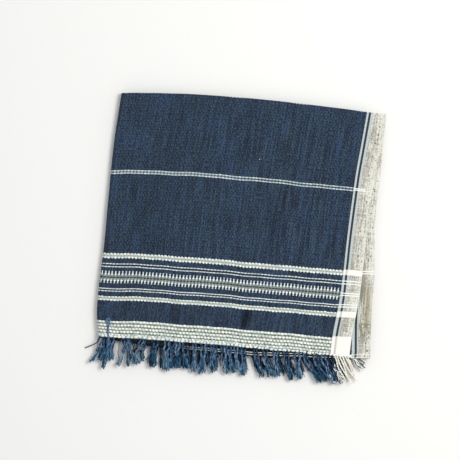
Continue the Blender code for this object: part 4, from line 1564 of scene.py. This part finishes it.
def add_tuft(yarns, draw, line, across, knot, look, tone, pale, full):
    """Loose curly yarn ends below the knot, spread into a blunt, ragged brush."""
    gone = np.linspace(0, 1, look.tuft_steps)
    core = smooth_line(line, np.linspace(knot, TUFT_END, look.tuft_steps))
    core_radius = full * (CORE_START + CORE_SWELL * np.sqrt(gone) * (1 - gone ** 5))
    yarns.add(core, core_radius, CORE_SIDES, tone - CORE_DARKER, 0.0, CORE_TEAL)
    spread = full * TUFT_SPREAD * draw.uniform(*TUFT_SPREADS)
    lean = draw.uniform(*TUFT_LEANS)
    count = max(TUFT_LEAST, round(full * look.tuft_count))
    for index in range(count):
        fan = (index + 0.5) / count * 2 - 1 + draw.uniform(*TUFT_PLACES)
        end = min(1.0, draw.uniform(*TUFT_LENGTHS) - TUFT_SHORTER * abs(fan))
        shares = np.linspace(knot - TUFT_START, end, look.tuft_steps)
        wide = (BUNDLE_GAP * full + spread * gone ** 0.7) * fan + lean * spread * gone ** 2
        wide = wide + TUFT_CURL * wobble(draw, gone, *TUFT_SPEEDS) * gone
        path = smooth_line(line, shares) + smooth_line(across, shares) * wide[:, None]
        path[:, 2] += draw.uniform(*TUFT_LIFTS) * TUFT_LIFT * np.sin(math.pi * (TUFT_ARCH * gone))
        radius = TUFT_RADIUS * draw.uniform(*TUFT_RADII) * (1 - TUFT_TAPER * gone ** 2)
        undyed = 1.0 if draw.random() < pale else 0.0
        # Some ends carry a painted highlight
        bright = HIGHLIGHT_TONE if draw.random() < HIGHLIGHT_SHARE else 0.0
        yarns.add(path, radius, look.tuft_sides, tone + draw.uniform(*TUFT_TONES) + bright, undyed, 1.0)


def add_slipped(yarns, draw, row, root, tip):
    """A thin kinky yarn that has slipped out of a tassel."""
    start = (root[0] + draw.uniform(-SLIPPED_START, SLIPPED_START), root[1])
    gone = draw.uniform(*SLIPPED_SHARES)
    end_x = root[0] + (tip[0] - root[0]) * gone + draw.gauss(0, SLIPPED_END)
    end = (end_x, root[1] + (tip[1] - root[1]) * gone)
    path = strand_path(row, start, end, SLIPPED_BEND, SLIPPED_STEPS)
    shares = np.linspace(0, 1, SLIPPED_STEPS)
    bow = draw.gauss(0, SLIPPED_BOW) * np.sin(math.pi * shares)
    bow = bow + SLIPPED_CURL * wobble(draw, shares, *SLIPPED_SPEEDS)
    path = path + sideways(path) * bow[:, None]
    path[:, 2] -= SLIPPED_DROP
    yarns.add(path, draw.uniform(*SLIPPED_RADII), SLIPPED_SIDES, draw.uniform(*SLIPPED_TONES))


def add_thread(yarns, draw, row, root, tip):
    """One thick loose undyed thread of two soft plies."""
    path = strand_path(row, root, tip, THREAD_BEND, THREAD_STEPS)
    beside = sideways(path)
    shares = np.linspace(0, 1, THREAD_STEPS)
    wander = THREAD_WANDER * wobble(draw, shares, *THREAD_SPEEDS) * smooth_step(3 * shares)
    path = path + beside * wander[:, None]
    turns = draw.uniform(0, 6) + 2 * math.pi * THREAD_TURNS * shares
    radius = THREAD_RADIUS * (1 - THREAD_TAPER * shares ** 3)
    for start in (0, math.pi):
        offset = spiral(beside, turns + start, THREAD_TWIST)
        yarns.add(path + offset, radius, YARN_SIDES, draw.uniform(*THREAD_TONES), 1.0)


def hem_root(row, across_px):
    """Where a strand leaves its hem, by its place across the photo, as (x, depth)."""
    hem, side = ROWS[row][1:3]
    down_px = HEM_DOWN
    for _ in range(3):
        x, depth = from_photo(across_px, down_px)
        share = min(max((x - float(fold_x(depth))) / ROOT_REACH, 0.0), 1.0)
        wanted = float(edge_depth(hem, side, share))
        down_px += (wanted - depth) / PIXEL
    return x, wanted - ROOT_INSET


def add_top_row(yarns, row):
    """The tassels and threads that show whole, as they lie in the photo."""
    draw = random.Random(ROWS[row][-1])
    for root_px, spread_px, tip_px, tip_down, full in TOP_TASSELS:
        mixed = root_px == TOP_TASSELS[-1][0]
        tone, pale = MIXED_LOOK if mixed else (draw.uniform(*TOP_TONES), 0.0)
        root = hem_root(row, root_px)
        tip = from_photo(tip_px, tip_down)
        add_tassel(yarns, draw, row, root, tip, spread_px * PIXEL, FINE, tone, pale, full)
    for root_px, tip_px, tip_down in TOP_THREADS:
        add_thread(yarns, draw, row, hem_root(row, root_px), from_photo(tip_px, tip_down))


def add_lower_row(yarns, row):
    """A row of the fringe that shows only between and below the top one."""
    share, seed = ROWS[row][4:]
    draw = random.Random(seed)
    for root_px, spread_px, tip_px, tip_down, full in TOP_TASSELS:
        if full < THIN_TASSEL:
            continue
        loose = CLOSE_SHARE if root_px < LOOSE_FROM else 1.0
        aside = share * float(read_table(FILL, root_px)) + loose * draw.uniform(-ROOT_STRAY, ROOT_STRAY)
        rise = float(read_table(TIP_RISE, root_px)) + draw.uniform(-TIP_STRAY_DOWN, TIP_STRAY_DOWN)
        root = hem_root(row, root_px + aside)
        sway = loose * draw.uniform(-TIP_STRAY_ACROSS, TIP_STRAY_ACROSS)
        tip = from_photo(tip_px + aside + sway, tip_down - rise)
        # Lower tassels get darker tones as painted shade under the top row
        tone = draw.uniform(*LOWER_SHADED_TONES)
        add_tassel(yarns, draw, row, root, tip, spread_px * PIXEL, COARSE, tone, 0.0, LOWER_FULL * full)
    for root_px, tip_px, tip_down in TOP_THREADS[:-1]:
        tip = from_photo(tip_px - THREAD_LEFT, tip_down - draw.uniform(*THREAD_HIGHER))
        add_thread(yarns, draw, row, hem_root(row, root_px), tip)


def add_curls(yarns):
    """White curls that lie on the mixed bundle at the corner."""
    draw = random.Random(8)
    for across, down, half_width, half_length in CORNER_CURLS:
        angle = np.linspace(0, 2 * math.pi * draw.uniform(0.40, 0.75), CURL_STEPS) + draw.uniform(0, 6)
        wide = half_width * np.cos(angle)
        long = half_length * np.sin(angle)
        x, depth = from_photo(across + wide + 0.45 * long, down + long)
        height = CURL_HEIGHT + CURL_WAVE * np.sin(angle + draw.uniform(0, 6))
        path = np.stack([x, -depth, height], axis=1)
        yarns.add(path, CURL_RADIUS, 5, draw.uniform(0.0, 0.3), 0.9)


def make_outer_fringe(material):
    """The fringe of the hem that shows: its top row, and the row on the floor."""
    yarns = Yarns()
    add_top_row(yarns, "shown")
    add_lower_row(yarns, "lowest")
    add_curls(yarns)
    return yarns.piece("outer_fringe", material)


def make_inner_fringe(material):
    """The fringe of the inner hem, on both sides of the lengthwise fold."""
    yarns = Yarns()
    add_lower_row(yarns, "inner_upper")
    add_lower_row(yarns, "inner_lower")
    draw = random.Random(3)
    row = "inner_upper"
    root_px, *tip_px = CORNER_BUNDLE
    tip = from_photo(*tip_px)
    add_tassel(yarns, draw, row, hem_root(row, root_px), tip, CORNER_SPREAD, FINE, 0.18, 0.62, 0.80)
    root_px, *tip_px = CORNER_THREAD
    add_thread(yarns, draw, row, hem_root(row, root_px), from_photo(*tip_px))
    return yarns.piece("inner_fringe", material)


def top_height(x, depth):
    """Height of the first panel's outer face above the floor."""
    v = (1 - depth / FOLDED_DEPTH) * FIRST_LENGTH
    u = x - float(read_table(FIRST_SELVEDGE, depth)) + CLOTH_WIDTH / 2
    return float(on_first_panel(np.array([u]), np.array([max(v, 0.0)]), 0.0)[0, 2])


def curve_through(table, steps, base=None):
    """A smooth path through rows of (x, y, height). base gives the height that theirs is above."""
    points = []
    for across, down, height in table:
        x, depth = from_photo(across, down)
        points.append((x, -depth, height + (base(x, depth) if base else 0.0)))
    points = np.array(points)
    gone = np.concatenate([[0], np.cumsum(np.linalg.norm(np.diff(points, axis=0), axis=1))])
    places = np.linspace(0, gone[-1], steps)
    return np.stack([read_table(np.stack([gone, column], axis=1), places) for column in points.T], axis=1)


def make_strays(material):
    """Loose yarns that lie on the towel and beside it."""
    yarns = Yarns()
    looped = np.clip(1.6 - np.linspace(0, 2.4, STRAY_STEPS), 0.0, 1.0)
    radius = STRAY_RADIUS + (LOOP_RADIUS - STRAY_RADIUS) * looped
    yarns.add(curve_through(STRAY_YARN, STRAY_STEPS, top_height), radius, 6, 0.62)
    yarns.add(curve_through(LOOSE_END, LOOSE_STEPS), LOOSE_RADIUS, 5, 0.0)
    x, depth = from_photo(*LINT)
    fleck = np.linspace(-LINT_HALF_LENGTH, LINT_HALF_LENGTH, 4)
    height = np.full(4, top_height(x, depth) + LINT_RADIUS)
    yarns.add(np.stack([x + fleck, 0.3 * fleck - depth, height], axis=1), LINT_RADIUS, 5, 0.5, 1.0)
    return yarns.piece("stray_yarns", material)


def make_floor(material):
    """A wide pale floor under the towel."""
    mesh = bpy.data.meshes.new("floor")
    corners = [(x * FLOOR_HALF, y * FLOOR_HALF, 0) for x, y in ((-1, -1), (1, -1), (1, 1), (-1, 1))]
    mesh.from_pydata(corners, [], [(0, 1, 2, 3)])
    mesh.materials.append(material)
    floor = add_object("floor", mesh)
    floor.location.z = -FLOOR_DROP


def light_studio():
    """Soft daylight from the right and the far side, over a bright room."""
    data = bpy.data.lights.new("key_light", "AREA")
    data.shape = "SQUARE"
    data.size = LIGHT_SIZE
    data.energy = LIGHT_POWER
    data.color = LIGHT_COLOUR
    light = add_object("key_light", data)
    light.location = LIGHT_PLACE
    light.rotation_mode = "QUATERNION"
    light.rotation_quaternion = (-LIGHT_PLACE).to_track_quat("-Z", "Y")
    world = bpy.data.worlds.new("studio")
    world.use_nodes = True
    background = world.node_tree.nodes["Background"]
    background.inputs["Color"].default_value = ROOM_COLOUR
    background.inputs["Strength"].default_value = ROOM_STRENGTH
    bpy.context.scene.world = world
    bpy.context.scene.view_settings.view_transform = "Standard"


def aim_camera():
    """A long lens straight above the towel, turned as the photo is."""
    x, depth = from_photo(*PHOTO_MIDDLE)
    data = bpy.data.cameras.new("camera")
    data.lens = LENS
    data.clip_end = CAMERA_REACH
    height = PIXEL * PHOTO_PIXELS * data.lens / data.sensor_width
    place = Vector((x, -depth, height)) + Vector(PLACE)
    camera = add_object("camera", data)
    camera.matrix_world = Matrix.Translation(place) @ Matrix.Rotation(PHOTO_TILT, 4, "Z")
    bpy.context.scene.camera = camera


def place_of(points):
    """The move from the towel's own frame to the CAD frame, from the box of the CAD cloth."""
    middle = np.mean(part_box("cloth"), axis=0)
    own = (points.min(axis=(0, 1, 2)) + points.max(axis=(0, 1, 2))) / 2
    return np.array([middle[0] - own[0], middle[1] - own[1], 0.0])


COLUMNS = [[cloth_column(station, face) for station in round_stations()] for face in (1, -1)]
CLOTH_POINTS = np.array([[points for points, _ in columns] for columns in COLUMNS])
CLOTH_PLACES = np.array([[places for _, places in columns] for columns in COLUMNS])
PLACE = place_of(CLOTH_POINTS)

yarn = yarn_finish()
cloth = make_cloth(CLOTH_POINTS, CLOTH_PLACES, cloth_finish())
weft = make_weft(weft_finish())
outer = make_outer_fringe(yarn)
inner = make_inner_fringe(yarn)
strays = make_strays(yarn)
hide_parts("cloth")
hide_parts("fringe_outer")
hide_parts("fringe_inner")
make_floor(floor_finish())
light_studio()
aim_camera()
